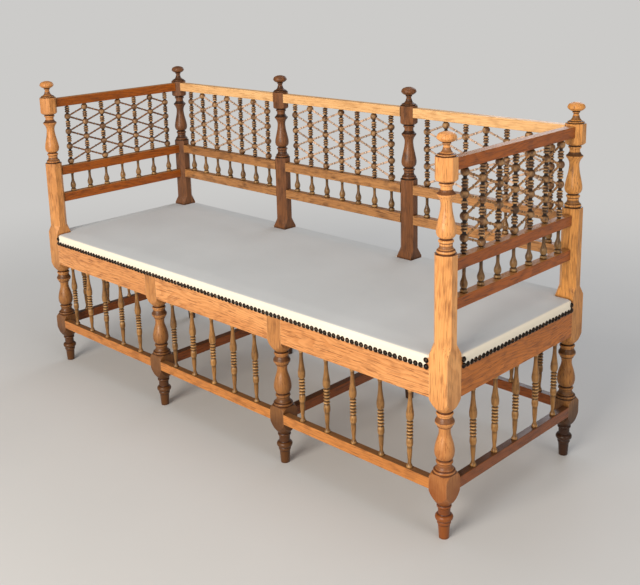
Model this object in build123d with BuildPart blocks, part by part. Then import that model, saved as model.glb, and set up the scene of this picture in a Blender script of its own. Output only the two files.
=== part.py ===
"""Persian takht: a joined daybed of turned posts, mortised rails, spindles and ball-and-peg lattice.

Frame: +X along the seat, +Y towards the back, +Z up, origin on the floor under the middle.
All sizes are millimetres.
"""

from build123d import *
from dataclasses import dataclass
import math
import os

# ---------------------------------------------------------------- driving dimensions
# plan
LEG_SPAN_X = 1562.0          # between corner leg centres, along the seat
LEG_SPAN_Y = 517.0           # between front and back leg centres
BAYS = 3                     # back and front are divided in this many bays

# posts and legs
STOCK = 50.0                 # square section of every leg
COLUMN_FLATS = 47.0          # octagonal column, across the flats
BROACH_HEIGHT = 24.0         # octagon runs out to the square over this height
SEAT_BLOCK_RISE = 9.5        # square block stands this far above the seat rails
COLUMN_REVEAL = 16.0         # column above the middle rail
HEAD_BELOW = 14.0            # octagonal head below the top rail
HEAD_ABOVE = 2.0             # octagonal head above the top rail
FINIAL_HEIGHT = 55.0         # cap and ogee above the head
BLOCK_MARGIN = 1.0           # lower block beyond the stretcher, above and below

# lathe radii of posts and legs, from the floor up
FOOT_TIP = 11.6
FOOT_TOP = 13.8
FOOT_RING = 20.8
ANKLE = 14.2                 # plain turning between foot ring and lower block
LEG_COLLAR = 27.0            # ring on the shoulder over the lower block
LEG_WAIST = 17.0             # plain turning under the lower vase
LEG_VASE = 22.9
LEG_NECK = 13.2
LEG_RING = 22.0
COLLAR = 20.8                # ring on the column
VASE_WAIST = 14.4            # plain turning under the upper vase
VASE = 21.6
VASE_NECK = 12.2
KNIFE_RING = 21.2
HEAD_NECK = 12.8             # plain turning under the head
CAP = 21.6
CAP_NECK = 6.9
CAP_RING = 9.4               # bead under the cap
BEAD = 1.2                   # swell of a small bead
GROOVE = 1.4                 # depth of a groove beside a bead

# levels, each measured from what it stands on
STRETCHER_LEVEL = 122.0      # floor to underside of the stretchers
SEAT_RAIL_LEVEL = 343.5      # floor to underside of the seat rails
BACK_RAIL_LEVEL = 542.0      # floor to underside of the bottom back rail
BALUSTER_HEIGHT = 61.0       # between bottom and middle rail
LATTICE_HEIGHT = 193.0       # between middle and top rail

# rails
RAIL_HEIGHT = 27.0
RAIL_THICKNESS = 24.0
SEAT_RAIL_HEIGHT = 92.0
SEAT_RAIL_THICKNESS = 25.0
STRETCHER_HEIGHT = 27.0
STRETCHER_THICKNESS = 20.0
CROSS_THICKNESS = 22.0
EDGE_ROUND = 1.5             # long edges of rails and stretchers

# tenons
RAIL_TENON = (8.0, 17.0, 17.0)        # thickness, height, length
SEAT_TENON = (10.0, 70.0, 19.0)
STRETCHER_TENON = (8.0, 18.0, 17.0)
SEAT_TENON_DROP = 8.0                 # seat tenon below the rail's middle, clear of the nails
TENON_CLEARANCE = 0.1
TENON_END_GAP = 0.6

# turned members
SPINDLES_PER_BAY = 5
SPINDLE_RINGS = 5
SPINDLE_RADIUS = 9.7         # upper bulb
SPINDLE_RING = 8.5           # rings, lower bulb and flared foot
SPINDLE_CORE = 6.2           # between the rings
SPINDLE_WAIST = 4.4
SPINDLE_PIN_RADIUS = 3.8
UPRIGHTS_PER_BAY = 7
BALL_RADIUS = 10.6
BALLS = 4
BALL_END = 11.4              # end ball centre from the rail
DISC_RADIUS = 8.2
DISC_THICKNESS = 4.9
DISC_GAP = 2.2
UPRIGHT_CORE = 5.9
UPRIGHT_NECK = 4.6
UPRIGHT_CUFF = 7.4
UPRIGHT_PIN_RADIUS = 3.6
BALUSTER_RADIUS = 9.4
BALUSTER_BASE = 9.0
BALUSTER_NECK = 4.2
BALUSTER_CUFF = 6.4
PIN_LENGTH = 9.0
PIN_CLEARANCE = 0.1
PIN_END_GAP = 0.5
PEG_END_RADIUS = 2.2
PEG_SWELL = 3.3
PEG_BEAD = 4.3
PEG_BEAD_HALF = 3.2          # half the length of the bead
PEG_PIN_RADIUS = 1.7
PEG_DEPTH = 4.0

# seat
SLATS_PER_BAY = 5
SLAT_WIDTH = 66.0
SLAT_THICKNESS = 12.0
SLAT_DROP = 10.0             # slat top below the rail top
REBATE_WIDTH = 10.0
SLAT_END_GAP = 0.5
PAD_RISE = 6.0               # stuffing over the rail top
CLOTH = 1.5                  # canvas with its turned-under edge
COVER_DROP = 24.5            # cover down the rail face, from the rail top
SOFT_CLEARANCE = 0.5
SEAT_ROUND = 5.0

# nails
NAIL_RADIUS = 7.1
NAIL_DOME = 4.2
NAIL_PITCH = 14.5
NAIL_SHANK_RADIUS = 1.1
NAIL_SHANK = 10.0
NAIL_LINE = 20.0             # row below the rail top
NAIL_EDGE = 7.5              # first nail from the post
NAIL_CLEARANCE = 0.1

# ---------------------------------------------------------------- derived sizes
HALF = STOCK / 2
CORNER = HALF * math.sqrt(2)
LATHE_CLEAR = CORNER + 1.0                       # lathe never reaches the blank here
COLUMN_HALF = COLUMN_FLATS / 2
COLUMN_CLEAR = COLUMN_HALF / math.cos(math.pi / 8) + 0.4      # just outside the octagon's corners
X_END = LEG_SPAN_X / 2
Y_END = LEG_SPAN_Y / 2
BAY = LEG_SPAN_X / BAYS
X_LEGS = [-X_END + BAY * i for i in range(BAYS + 1)]
X_MIDS = X_LEGS[1:-1]
X_SPANS = list(zip(X_LEGS, X_LEGS[1:]))
Y_SPANS = [(-Y_END, Y_END)]

STRETCHER_TOP = STRETCHER_LEVEL + STRETCHER_HEIGHT
LOWER_BLOCK = (STRETCHER_LEVEL - BLOCK_MARGIN, STRETCHER_TOP + BLOCK_MARGIN)
SEAT_RAIL_TOP = SEAT_RAIL_LEVEL + SEAT_RAIL_HEIGHT
SEAT_BLOCK_TOP = SEAT_RAIL_TOP + SEAT_BLOCK_RISE
BROACH_TOP = SEAT_BLOCK_TOP + BROACH_HEIGHT
BACK_RAIL_TOP = BACK_RAIL_LEVEL + RAIL_HEIGHT
MID_RAIL_LEVEL = BACK_RAIL_TOP + BALUSTER_HEIGHT
MID_RAIL_TOP = MID_RAIL_LEVEL + RAIL_HEIGHT
TOP_RAIL_LEVEL = MID_RAIL_TOP + LATTICE_HEIGHT
TOP_RAIL_TOP = TOP_RAIL_LEVEL + RAIL_HEIGHT
COLUMN_TOP = MID_RAIL_TOP + COLUMN_REVEAL
HEAD = (TOP_RAIL_LEVEL - HEAD_BELOW, TOP_RAIL_TOP + HEAD_ABOVE)
POST_TOP = HEAD[1] + FINIAL_HEIGHT

SEAT_RAIL_PLANE = HALF - SEAT_RAIL_THICKNESS / 2      # out from the leg centre
STRETCHER_PLANE = HALF - STRETCHER_THICKNESS / 2
SPINDLE_HEIGHT = SEAT_RAIL_LEVEL - STRETCHER_TOP
SLAT_TOP = SEAT_RAIL_TOP - SLAT_DROP
SLAT_LEVEL = SLAT_TOP - SLAT_THICKNESS
PAD_TOP = SEAT_RAIL_TOP + PAD_RISE
SEAT_TOP = PAD_TOP + CLOTH
COVER_BOTTOM = SEAT_RAIL_TOP - COVER_DROP
NAIL_LEVEL = SEAT_RAIL_TOP - NAIL_LINE
X_FACE = X_END + HALF
Y_FACE = Y_END + HALF

os.makedirs("parts", exist_ok=True)


def write(builder, name):
    """Label a finished piece and write it as parts/NAME.step."""
    builder.part.label = name
    export_step(builder.part, f"parts/{name}.step")


# ---------------------------------------------------------------- lathe outlines
# An outline is a list of strokes that start at the end of the stroke before:
# ("line", (r, z)), ("arc", (r, z), bulge), where a positive bulge swells outwards,
# and ("curve", [(r, z), ...]), a smooth line through its points.

def stick(z0, z1, strokes):
    """Place strokes whose heights are shares of a section between two levels."""
    def level(point):
        return (point[0], z0 + point[1] * (z1 - z0))
    placed = []
    for stroke in strokes:
        if stroke[0] == "curve":
            placed.append(("curve", [level(p) for p in stroke[1]]))
        else:
            placed.append((stroke[0], level(stroke[1]), *stroke[2:]))
    return placed


def draw(start, strokes):
    """Draw strokes inside an open BuildLine, and return the last point."""
    here = start
    for stroke in strokes:
        if stroke[0] == "line":
            Line(here, stroke[1])
            here = stroke[1]
        elif stroke[0] == "arc":
            end = stroke[1]
            chord = math.dist(here, end)
            normal = ((end[1] - here[1]) / chord, (here[0] - end[0]) / chord)
            middle = ((here[0] + end[0]) / 2 + normal[0] * stroke[2],
                      (here[1] + end[1]) / 2 + normal[1] * stroke[2])
            ThreePointArc(here, middle, end)
            here = end
        else:
            Spline(here, *stroke[1])
            here = stroke[1][-1]
    return here


def foot_strokes():
    """Tapered foot, two rings, ankle and the shoulder under the lower block."""
    return stick(0.0, LOWER_BLOCK[0], [
        ("line", (FOOT_TIP, 0.0)),
        ("line", (FOOT_TOP, 0.285)),
        ("line", (FOOT_TOP + BEAD, 0.295)),
        ("arc", (FOOT_TOP + BEAD, 0.368), BEAD),
        ("arc", (FOOT_TOP + BEAD, 0.500), FOOT_RING - FOOT_TOP - BEAD),
        ("line", (ANKLE, 0.510)),
        ("line", (ANKLE, 0.625)),
        ("line", (ANKLE + BEAD, 0.640)),
        ("arc", (ANKLE + 2 * BEAD, 0.690), BEAD),
        ("line", (ANKLE + BEAD, 0.702)),
        ("arc", (LATHE_CLEAR, 1.0), 2.0),
    ])


def leg_strokes():
    """Bell shoulder, collar, vase, ring and the shoulder under the seat block."""
    return stick(LOWER_BLOCK[1], SEAT_RAIL_LEVEL, [
        ("arc", (LEG_COLLAR, 0.070), 1.0),
        ("line", (LEG_COLLAR - 2 * GROOVE, 0.080)),
        ("arc", (LEG_COLLAR - 2 * GROOVE, 0.112), BEAD),
        ("line", (LEG_COLLAR - 4 * GROOVE, 0.122)),
        ("arc", (LEG_WAIST, 0.170), -1.0),
        ("line", (LEG_WAIST, 0.192)),
        ("arc", (LEG_WAIST, 0.226), BEAD + GROOVE),
        ("line", (LEG_WAIST - GROOVE, 0.234)),
        ("line", (LEG_WAIST - GROOVE, 0.242)),
        ("line", (LEG_WAIST + GROOVE, 0.252)),
        ("curve", [(LEG_VASE - 1.4, 0.287), (LEG_VASE, 0.345), (LEG_VASE - 1.8, 0.415), (LEG_NECK + 4.0, 0.490),
                   (LEG_NECK + 0.6, 0.550), (LEG_NECK, 0.590)]),
        ("arc", (LEG_NECK + 2.0, 0.640), -0.5),
        ("line", (LEG_NECK + 4.0, 0.648)),
        ("line", (LEG_NECK + 4.0, 0.662)),
        ("line", (LEG_NECK + 4.6, 0.668)),
        ("arc", (LEG_RING, 0.700), 0.8),
        ("arc", (LEG_RING - 0.6, 0.728), 0.4),
        ("arc", (LEG_WAIST, 0.782), -0.8),
        ("line", (LEG_WAIST, 0.792)),
        ("arc", (LEG_WAIST, 0.830), BEAD + GROOVE),
        ("line", (LEG_WAIST - GROOVE, 0.838)),
        ("arc", (LATHE_CLEAR, 1.0), 2.0),
    ])


def vase_strokes():
    """Collar, beads, long vase and knife-edged ring between column and head."""
    return stick(COLUMN_TOP, HEAD[0], [
        ("line", (COLLAR - GROOVE, 0.0)),
        ("line", (COLLAR - GROOVE, 0.010)),
        ("arc", (COLLAR - GROOVE, 0.052), GROOVE),
        ("line", (COLLAR - 2 * GROOVE, 0.060)),
        ("arc", (VASE_WAIST, 0.118), -1.4),
        ("line", (VASE_WAIST, 0.148)),
        ("arc", (VASE_WAIST, 0.190), BEAD + GROOVE),
        ("line", (VASE_WAIST - GROOVE, 0.198)),
        ("line", (VASE_WAIST - GROOVE, 0.207)),
        ("line", (VASE_WAIST + GROOVE, 0.216)),
        ("curve", [(VASE - 1.6, 0.250), (VASE, 0.300), (VASE - 1.4, 0.370), (VASE_NECK + 4.4, 0.475),
                   (VASE_NECK + 1.0, 0.580), (VASE_NECK, 0.660)]),
        ("arc", (KNIFE_RING - 1.6, 0.768), -1.8),
        ("line", (KNIFE_RING, 0.788)),
        ("line", (KNIFE_RING - 1.2, 0.802)),
        ("arc", (HEAD_NECK + GROOVE, 0.846), -1.0),
        ("line", (HEAD_NECK, 0.852)),
        ("line", (HEAD_NECK, 0.902)),
        ("arc", (HEAD_NECK + GROOVE, 0.945), BEAD + GROOVE),
        ("line", (HEAD_NECK + GROOVE, 0.952)),
        ("arc", (COLUMN_CLEAR, 1.0), 1.8),
        ("line", (LATHE_CLEAR, 1.0)),
    ])


def finial_strokes():
    """Rounded shoulder, ring, ogee, thin neck and mushroom cap."""
    return stick(HEAD[1], POST_TOP, [
        ("line", (COLUMN_CLEAR, 0.0)),
        ("arc", (COLLAR + BEAD, 0.080), BEAD),
        ("line", (COLLAR - GROOVE, 0.090)),
        ("arc", (COLLAR - GROOVE, 0.150), BEAD),
        ("line", (COLLAR - 2 * GROOVE, 0.160)),
        ("arc", (CAP_NECK + BEAD, 0.400), -2.6),
        ("line", (CAP_NECK, 0.430)),
        ("line", (CAP_NECK, 0.500)),
        ("arc", (CAP_RING - BEAD, 0.520), -0.2),
        ("arc", (CAP_RING - BEAD, 0.590), BEAD),
        ("arc", (CAP - 0.7, 0.735), 1.5),
        ("arc", (CAP - 0.9, 0.815), 0.7),
        ("arc", (13.0, 0.955), 1.7),
        ("arc", (0.0, 1.0), 0.9),
    ])


# ---------------------------------------------------------------- rails as data
@dataclass(frozen=True)
class Rail:
    """A straight rail between two legs, with a tenon at each end."""

    name: str
    along_x: bool
    start: float             # leg centre at the low end
    end: float               # leg centre at the high end
    plane: float             # centre plane across the rail
    level: float
    height: float
    thickness: float
    seat: float              # leg centre to shoulder
    tenon: tuple
    tenon_shift: float = 0.0

    @property
    def body(self):
        return (self.start + self.seat, self.end - self.seat)

    @property
    def middle_z(self):
        return self.level + self.height / 2

    def place(self, along, up):
        """Point on the centre plane."""
        return (along, self.plane, up) if self.along_x else (self.plane, along, up)

    def tenon_boxes(self, clearance=0.0, end_gap=0.0):
        """Centre and size of both tenons, grown for a mortise."""
        thick, high, long = self.tenon
        long_total = long + end_gap
        boxes = []
        for shoulder, way in ((self.body[0], -1), (self.body[1], 1)):
            centre = self.place(shoulder + way * long_total / 2, self.middle_z + self.tenon_shift)
            across = thick + 2 * clearance
            size = (long_total, across) if self.along_x else (across, long_total)
            boxes.append((centre, (*size, high + 2 * clearance)))
        return boxes


BAY_NAMES = ["left", "middle", "right"] if BAYS == 3 else [f"bay_{i + 1}" for i in range(BAYS)]
MID_NAMES = ["left", "right"] if BAYS == 3 else [str(i + 1) for i in range(BAYS - 1)]

RAILS = []
for row, y_leg, out in (("front", -Y_END, -1), ("back", Y_END, 1)):
    for bay, (x0, x1) in zip(BAY_NAMES, X_SPANS):
        RAILS.append(Rail(f"seat_rail_{row}_{bay}", True, x0, x1, y_leg + out * SEAT_RAIL_PLANE,
                          SEAT_RAIL_LEVEL, SEAT_RAIL_HEIGHT, SEAT_RAIL_THICKNESS, HALF, SEAT_TENON, -SEAT_TENON_DROP))
        RAILS.append(Rail(f"stretcher_{row}_{bay}", True, x0, x1, y_leg + out * STRETCHER_PLANE,
                          STRETCHER_LEVEL, STRETCHER_HEIGHT, STRETCHER_THICKNESS, HALF, STRETCHER_TENON))
        if row == "back":
            for part, level in (("bottom", BACK_RAIL_LEVEL), ("middle", MID_RAIL_LEVEL), ("top", TOP_RAIL_LEVEL)):
                RAILS.append(Rail(f"back_{part}_rail_{bay}", True, x0, x1, y_leg, level,
                                  RAIL_HEIGHT, RAIL_THICKNESS, COLUMN_HALF, RAIL_TENON))
for side, out in (("left", -1), ("right", 1)):
    x_leg = out * X_END
    RAILS.append(Rail(f"seat_rail_{side}", False, -Y_END, Y_END, x_leg + out * SEAT_RAIL_PLANE,
                      SEAT_RAIL_LEVEL, SEAT_RAIL_HEIGHT, SEAT_RAIL_THICKNESS, HALF, SEAT_TENON, -SEAT_TENON_DROP))
    RAILS.append(Rail(f"stretcher_{side}", False, -Y_END, Y_END, x_leg + out * STRETCHER_PLANE,
                      STRETCHER_LEVEL, STRETCHER_HEIGHT, STRETCHER_THICKNESS, HALF, STRETCHER_TENON))
    for part, level in (("bottom", BACK_RAIL_LEVEL), ("middle", MID_RAIL_LEVEL), ("top", TOP_RAIL_LEVEL)):
        RAILS.append(Rail(f"arm_{part}_rail_{side}", False, -Y_END, Y_END, x_leg, level,
                          RAIL_HEIGHT, RAIL_THICKNESS, COLUMN_HALF, RAIL_TENON))
for side, x_leg in zip(MID_NAMES, X_MIDS):
    RAILS.append(Rail(f"cross_stretcher_{side}", False, -Y_END, Y_END, x_leg, STRETCHER_LEVEL,
                      STRETCHER_HEIGHT, CROSS_THICKNESS, HALF, STRETCHER_TENON))


# ---------------------------------------------------------------- nails as data
@dataclass(frozen=True)
class Nail:
    """A domed nail: a point on the cover's face and the way out of it."""

    x: float
    y: float
    z: float
    out: tuple

    @property
    def location(self):
        return Plane(origin=(self.x, self.y, self.z), z_dir=self.out).location


def nail_run(low, high):
    """Evenly spaced nail positions between two posts, near the wanted pitch."""
    first = low + NAIL_EDGE
    last = high - NAIL_EDGE
    gaps = max(1, round((last - first) / NAIL_PITCH))
    return [first + (last - first) * i / gaps for i in range(gaps + 1)]


NAILS = []
row_sets = [(-1, [(-X_END + HALF, X_END - HALF)]),
            (1, [(x0 + HALF, x1 - HALF) for x0, x1 in X_SPANS])]
for way, spans in row_sets:
    for low, high in spans:
        places = nail_run(low, high)
        for x in places:
            NAILS.append(Nail(x, way * (Y_FACE + CLOTH), NAIL_LEVEL, (0, way, 0)))
        for x in (places[0], places[-1]):
            NAILS.append(Nail(x, way * (Y_FACE + CLOTH), NAIL_LEVEL + NAIL_PITCH, (0, way, 0)))
for way in (-1, 1):
    places = nail_run(-Y_END + HALF, Y_END - HALF)
    for y in places:
        NAILS.append(Nail(way * (X_FACE + CLOTH), y, NAIL_LEVEL, (way, 0, 0)))
    for y in (places[0], places[-1]):
        NAILS.append(Nail(way * (X_FACE + CLOTH), y, NAIL_LEVEL + NAIL_PITCH, (way, 0, 0)))


def nails_in(x_range, y_range):
    """Nails whose shank passes through a piece with these plan ranges."""
    reach = NAIL_SHANK_RADIUS + NAIL_CLEARANCE
    found = []
    for nail in NAILS:
        tip_x = nail.x - nail.out[0] * NAIL_SHANK
        tip_y = nail.y - nail.out[1] * NAIL_SHANK
        in_x = min(nail.x, tip_x) - reach < x_range[1] and max(nail.x, tip_x) + reach > x_range[0]
        in_y = min(nail.y, tip_y) - reach < y_range[1] and max(nail.y, tip_y) + reach > y_range[0]
        if in_x and in_y:
            found.append(nail.location)
    return found


def drill_nails(x_range, y_range):
    """Drill the shank holes of the nails that reach this piece."""
    found = nails_in(x_range, y_range)
    if found:
        with Locations(*found):
            Cylinder(NAIL_SHANK_RADIUS + NAIL_CLEARANCE, 2 * (NAIL_SHANK + PIN_END_GAP), mode=Mode.SUBTRACT)


# ---------------------------------------------------------------- spindle places
def divide(low, high, count):
    """Places that divide a bay in equal parts, legs left out."""
    return [low + (high - low) * (i + 1) / (count + 1) for i in range(count)]


def row_places(plane, along_x, spans, count):
    """Plan points of a row of spindles over one or more bays."""
    points = []
    for low, high in spans:
        for a in divide(low, high, count):
            points.append((a, plane) if along_x else (plane, a))
    return points


UNDER_ROWS = {
    "front": row_places(-Y_END - STRETCHER_PLANE, True, X_SPANS, SPINDLES_PER_BAY),
    "back": row_places(Y_END + STRETCHER_PLANE, True, X_SPANS, SPINDLES_PER_BAY),
    "left": row_places(-X_END - STRETCHER_PLANE, False, Y_SPANS, SPINDLES_PER_BAY),
    "right": row_places(X_END + STRETCHER_PLANE, False, Y_SPANS, SPINDLES_PER_BAY),
}
UPPER_ROWS = {
    "back": row_places(Y_END, True, X_SPANS, UPRIGHTS_PER_BAY),
    "arm_left": row_places(-X_END, False, Y_SPANS, UPRIGHTS_PER_BAY),
    "arm_right": row_places(X_END, False, Y_SPANS, UPRIGHTS_PER_BAY),
}


def pins_on(rail, rows):
    """Plan points of the spindles that stand on or under a rail."""
    found = []
    for x, y in rows:
        along, across = (x, y) if rail.along_x else (y, x)
        if rail.body[0] < along < rail.body[1] and abs(across - rail.plane) < rail.thickness / 2:
            found.append((x, y))
    return found


def bore(points, z, radius):
    """Blind holes for spindle pins, into the face at level z, from either side."""
    if points:
        with Locations(*[(x, y, z) for x, y in points]):
            Cylinder(radius + PIN_CLEARANCE, 2 * (PIN_LENGTH + PIN_END_GAP), mode=Mode.SUBTRACT)


# ---------------------------------------------------------------- posts and legs
# Blank of a tall post: square below, broach stop, octagon above.
with BuildPart() as tall_blank:
    with BuildSketch(Plane.XY.offset(SEAT_BLOCK_TOP)):
        Rectangle(STOCK, STOCK)
    extrude(amount=BROACH_HEIGHT, taper=math.degrees(math.atan((HALF - COLUMN_HALF) / BROACH_HEIGHT)))
    with BuildSketch(Plane.XY.offset(SEAT_BLOCK_TOP)):
        Rectangle(2 * CORNER, 2 * CORNER, rotation=45)
    extrude(amount=BROACH_HEIGHT, mode=Mode.INTERSECT,
            taper=math.degrees(math.atan((CORNER - COLUMN_HALF) / BROACH_HEIGHT)))
    with BuildSketch(Plane.XY):
        Rectangle(STOCK, STOCK)
    extrude(amount=SEAT_BLOCK_TOP)
    with BuildSketch(Plane.XY.offset(BROACH_TOP)):
        RegularPolygon(COLUMN_HALF, 8, major_radius=False, rotation=22.5)
    extrude(amount=POST_TOP - BROACH_TOP)

with BuildPart() as short_blank:
    with BuildSketch(Plane.XY):
        Rectangle(STOCK, STOCK)
    extrude(amount=SEAT_RAIL_TOP)


def leg(name, x, y, tall):
    """Turn a post or short leg, cut its mortises and nail holes, and write it."""
    with BuildPart() as piece:
        with BuildSketch(Plane.XZ):
            with BuildLine():
                here = draw((0.0, 0.0), foot_strokes())
                here = draw(here, [("line", (LATHE_CLEAR, LOWER_BLOCK[1]))])
                here = draw(here, leg_strokes())
                if tall:
                    here = draw(here, [("line", (LATHE_CLEAR, COLUMN_TOP))])
                    here = draw(here, vase_strokes())
                    here = draw(here, [("line", (LATHE_CLEAR, HEAD[1]))])
                    here = draw(here, finial_strokes())
                else:
                    here = draw(here, [("line", (LATHE_CLEAR, SEAT_RAIL_TOP)), ("line", (0.0, SEAT_RAIL_TOP))])
                Line(here, (0.0, 0.0))
            make_face()
        revolve(axis=Axis.Z)
        add(tall_blank.part if tall else short_blank.part, mode=Mode.INTERSECT)
    with BuildPart() as post:
        with Locations((x, y, 0)):
            add(piece.part)
        for rail in RAILS:
            for centre, size in rail.tenon_boxes(TENON_CLEARANCE, TENON_END_GAP):
                if abs(centre[0] - x) < HALF and abs(centre[1] - y) < HALF:
                    with Locations(centre):
                        Box(*size, mode=Mode.SUBTRACT)
        if not tall:
            drill_nails((x - HALF, x + HALF), (y - HALF, y + HALF))
    write(post, name)


for row, y_leg, tall_mid in (("front", -Y_END, False), ("back", Y_END, True)):
    leg(f"post_{row}_left", -X_END, y_leg, True)
    leg(f"post_{row}_right", X_END, y_leg, True)
    for side, x_leg in zip(MID_NAMES, X_MIDS):
        kind = "post" if tall_mid else "leg"
        leg(f"{kind}_{row}_mid_{side}", x_leg, y_leg, tall_mid)

# ---------------------------------------------------------------- rails and stretchers
for rail in RAILS:
    low, high = rail.body
    with BuildPart() as bar:
        start = Plane(origin=rail.place(low, rail.middle_z), x_dir=(0, 0, 1),
                      z_dir=(1, 0, 0) if rail.along_x else (0, 1, 0))
        with BuildSketch(start):
            RectangleRounded(rail.height, rail.thickness, EDGE_ROUND)
        extrude(amount=high - low)
        for centre, size in rail.tenon_boxes():
            with Locations(centre):
                Box(*size)
        if rail.name.startswith(("seat_rail_front", "seat_rail_back")):
            inner = rail.plane - math.copysign(rail.thickness / 2, rail.plane)
            with Locations(((low + high) / 2, inner, SEAT_RAIL_TOP)):
                Box(high - low, 2 * REBATE_WIDTH, 2 * (SLAT_DROP + SLAT_THICKNESS), mode=Mode.SUBTRACT)
        if rail.name.startswith("seat_rail"):
            side_rows = UNDER_ROWS[rail.name.split("_")[2]]
            bore(pins_on(rail, side_rows), rail.level, SPINDLE_PIN_RADIUS)
            reach = rail.tenon[2]
            ends = (low - reach, high + reach)
            across = (rail.plane - rail.thickness / 2, rail.plane + rail.thickness / 2)
            drill_nails(*((ends, across) if rail.along_x else (across, ends)))
        elif rail.name.startswith("stretcher"):
            side_rows = UNDER_ROWS[rail.name.split("_")[1]]
            bore(pins_on(rail, side_rows), STRETCHER_TOP, SPINDLE_PIN_RADIUS)
        elif not rail.name.startswith("cross"):
            upper = [point for row in UPPER_ROWS.values() for point in row]
            points = pins_on(rail, upper)
            if rail.level == BACK_RAIL_LEVEL:
                bore(points, BACK_RAIL_TOP, UPRIGHT_PIN_RADIUS)
            elif rail.level == MID_RAIL_LEVEL:
                bore(points, MID_RAIL_LEVEL, UPRIGHT_PIN_RADIUS)
                bore(points, MID_RAIL_TOP, UPRIGHT_PIN_RADIUS)
            else:
                bore(points, TOP_RAIL_LEVEL, UPRIGHT_PIN_RADIUS)
    write(bar, rail.name)


# ---------------------------------------------------------------- turned members
def turned(strokes, height, pin_radius):
    """A spindle from z = 0 to its height, with a round pin beyond each end."""
    with BuildPart() as piece:
        with BuildSketch(Plane.XZ):
            with BuildLine():
                here = draw((0.0, -PIN_LENGTH), [("line", (pin_radius, -PIN_LENGTH)), ("line", (pin_radius, 0.0))])
                here = draw(here, strokes)
                here = draw(here, [("line", (pin_radius, height)), ("line", (pin_radius, height + PIN_LENGTH)),
                                   ("line", (0.0, height + PIN_LENGTH))])
                Line(here, (0.0, -PIN_LENGTH))
            make_face()
        revolve(axis=Axis.Z)
    return piece.part


def ring_stack(core, low, count, radius, thickness, gap):
    """Strokes of a stack of round rings over a thinner core, from bottom to top."""
    strokes = []
    for i in range(count):
        start = low + i * (thickness + gap)
        if i > 0:
            strokes.append(("line", (core, start)))
        strokes.append(("arc", (core, start + thickness), radius - core))
    return strokes


def spindle_strokes():
    """Under-seat spindle: flared foot, tapered lower bulb, five rings and an upper bulb with a long neck."""
    stack = (SPINDLE_HEIGHT * 0.392, SPINDLE_HEIGHT * 0.592)
    pitch = (stack[1] - stack[0]) / (SPINDLE_RINGS - 0.3)
    rings = ring_stack(SPINDLE_CORE, stack[0], SPINDLE_RINGS, SPINDLE_RING, pitch * 0.7, pitch * 0.3)
    below = stick(0.0, SPINDLE_HEIGHT, [
        ("line", (SPINDLE_RING - 1.0, 0.0)),
        ("arc", (SPINDLE_RING - 1.2, 0.024), 0.4),
        ("arc", (SPINDLE_WAIST, 0.088), -1.0),
        ("arc", (SPINDLE_CORE + 0.4, 0.272), 0.5),
        ("line", (SPINDLE_RING - 0.8, 0.282)),
        ("arc", (SPINDLE_RING - 0.8, 0.372), 0.8),
        ("line", (SPINDLE_CORE, 0.382)),
        ("line", (SPINDLE_CORE, 0.392)),
    ])
    above = stick(0.0, SPINDLE_HEIGHT, [
        ("line", (SPINDLE_CORE, 0.604)),
        ("line", (SPINDLE_RADIUS - 1.4, 0.614)),
        ("arc", (SPINDLE_RADIUS - 1.0, 0.722), 1.2),
        ("arc", (SPINDLE_WAIST + 0.4, 0.900), -0.6),
        ("line", (SPINDLE_WAIST + 0.4, 0.950)),
        ("arc", (SPINDLE_WAIST + 1.8, 0.968), -0.2),
        ("line", (SPINDLE_WAIST + 1.8, 1.0)),
    ])
    return below + rings + above


def upright_strokes():
    """Lattice upright: balls at a steady pitch with three discs between, a ball first."""
    neck = UPRIGHT_NECK
    cut = math.sqrt(BALL_RADIUS ** 2 - neck ** 2)
    stack_height = 3 * DISC_THICKNESS + 2 * DISC_GAP
    strokes = [
        ("line", (UPRIGHT_CUFF, 0.0)),
        ("line", (UPRIGHT_CUFF, BALL_END - cut)),
        ("line", (neck, BALL_END - cut)),
    ]
    for i in range(BALLS):
        centre = BALL_END + i * BALL_PITCH
        strokes.append(("arc", (neck, centre + cut), BALL_RADIUS - neck))
        space = min(BALL_PITCH, LATTICE_HEIGHT - centre + cut) - 2 * cut
        start = centre + cut + (space - stack_height) / 2
        strokes.append(("line", (neck, start)))
        strokes.append(("line", (UPRIGHT_CORE, start)))
        strokes += ring_stack(UPRIGHT_CORE, start, 3, DISC_RADIUS, DISC_THICKNESS, DISC_GAP)
        strokes.append(("line", (neck, start + stack_height)))
        end = BALL_END + (i + 1) * BALL_PITCH - cut if i < BALLS - 1 else LATTICE_HEIGHT
        strokes.append(("line", (neck, end)))
    return strokes


def baluster_strokes():
    """Short baluster: round base, low bulb and long neck."""
    return stick(0.0, BALUSTER_HEIGHT, [
        ("line", (BALUSTER_BASE - 0.8, 0.0)),
        ("arc", (BALUSTER_BASE - 0.8, 0.130), 0.8),
        ("line", (BALUSTER_CUFF, 0.145)),
        ("line", (BALUSTER_CUFF, 0.165)),
        ("arc", (BALUSTER_RADIUS - 1.8, 0.440), 2.2),
        ("arc", (BALUSTER_NECK, 0.740), -1.2),
        ("line", (BALUSTER_NECK, 0.900)),
        ("arc", (BALUSTER_CUFF - 0.6, 0.945), -0.3),
        ("line", (BALUSTER_CUFF, 0.955)),
        ("line", (BALUSTER_CUFF, 1.0)),
    ])


BALL_PITCH = (LATTICE_HEIGHT - 2 * BALL_END) / (BALLS - 0.5)
BALL_LEVELS_LOW = [BALL_END + i * BALL_PITCH for i in range(BALLS)]
BALL_LEVELS_HIGH = [LATTICE_HEIGHT - z for z in reversed(BALL_LEVELS_LOW)]

spindle = turned(spindle_strokes(), SPINDLE_HEIGHT, SPINDLE_PIN_RADIUS)
upright = turned(upright_strokes(), LATTICE_HEIGHT, UPRIGHT_PIN_RADIUS)
baluster = turned(baluster_strokes(), BALUSTER_HEIGHT, UPRIGHT_PIN_RADIUS)

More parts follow.
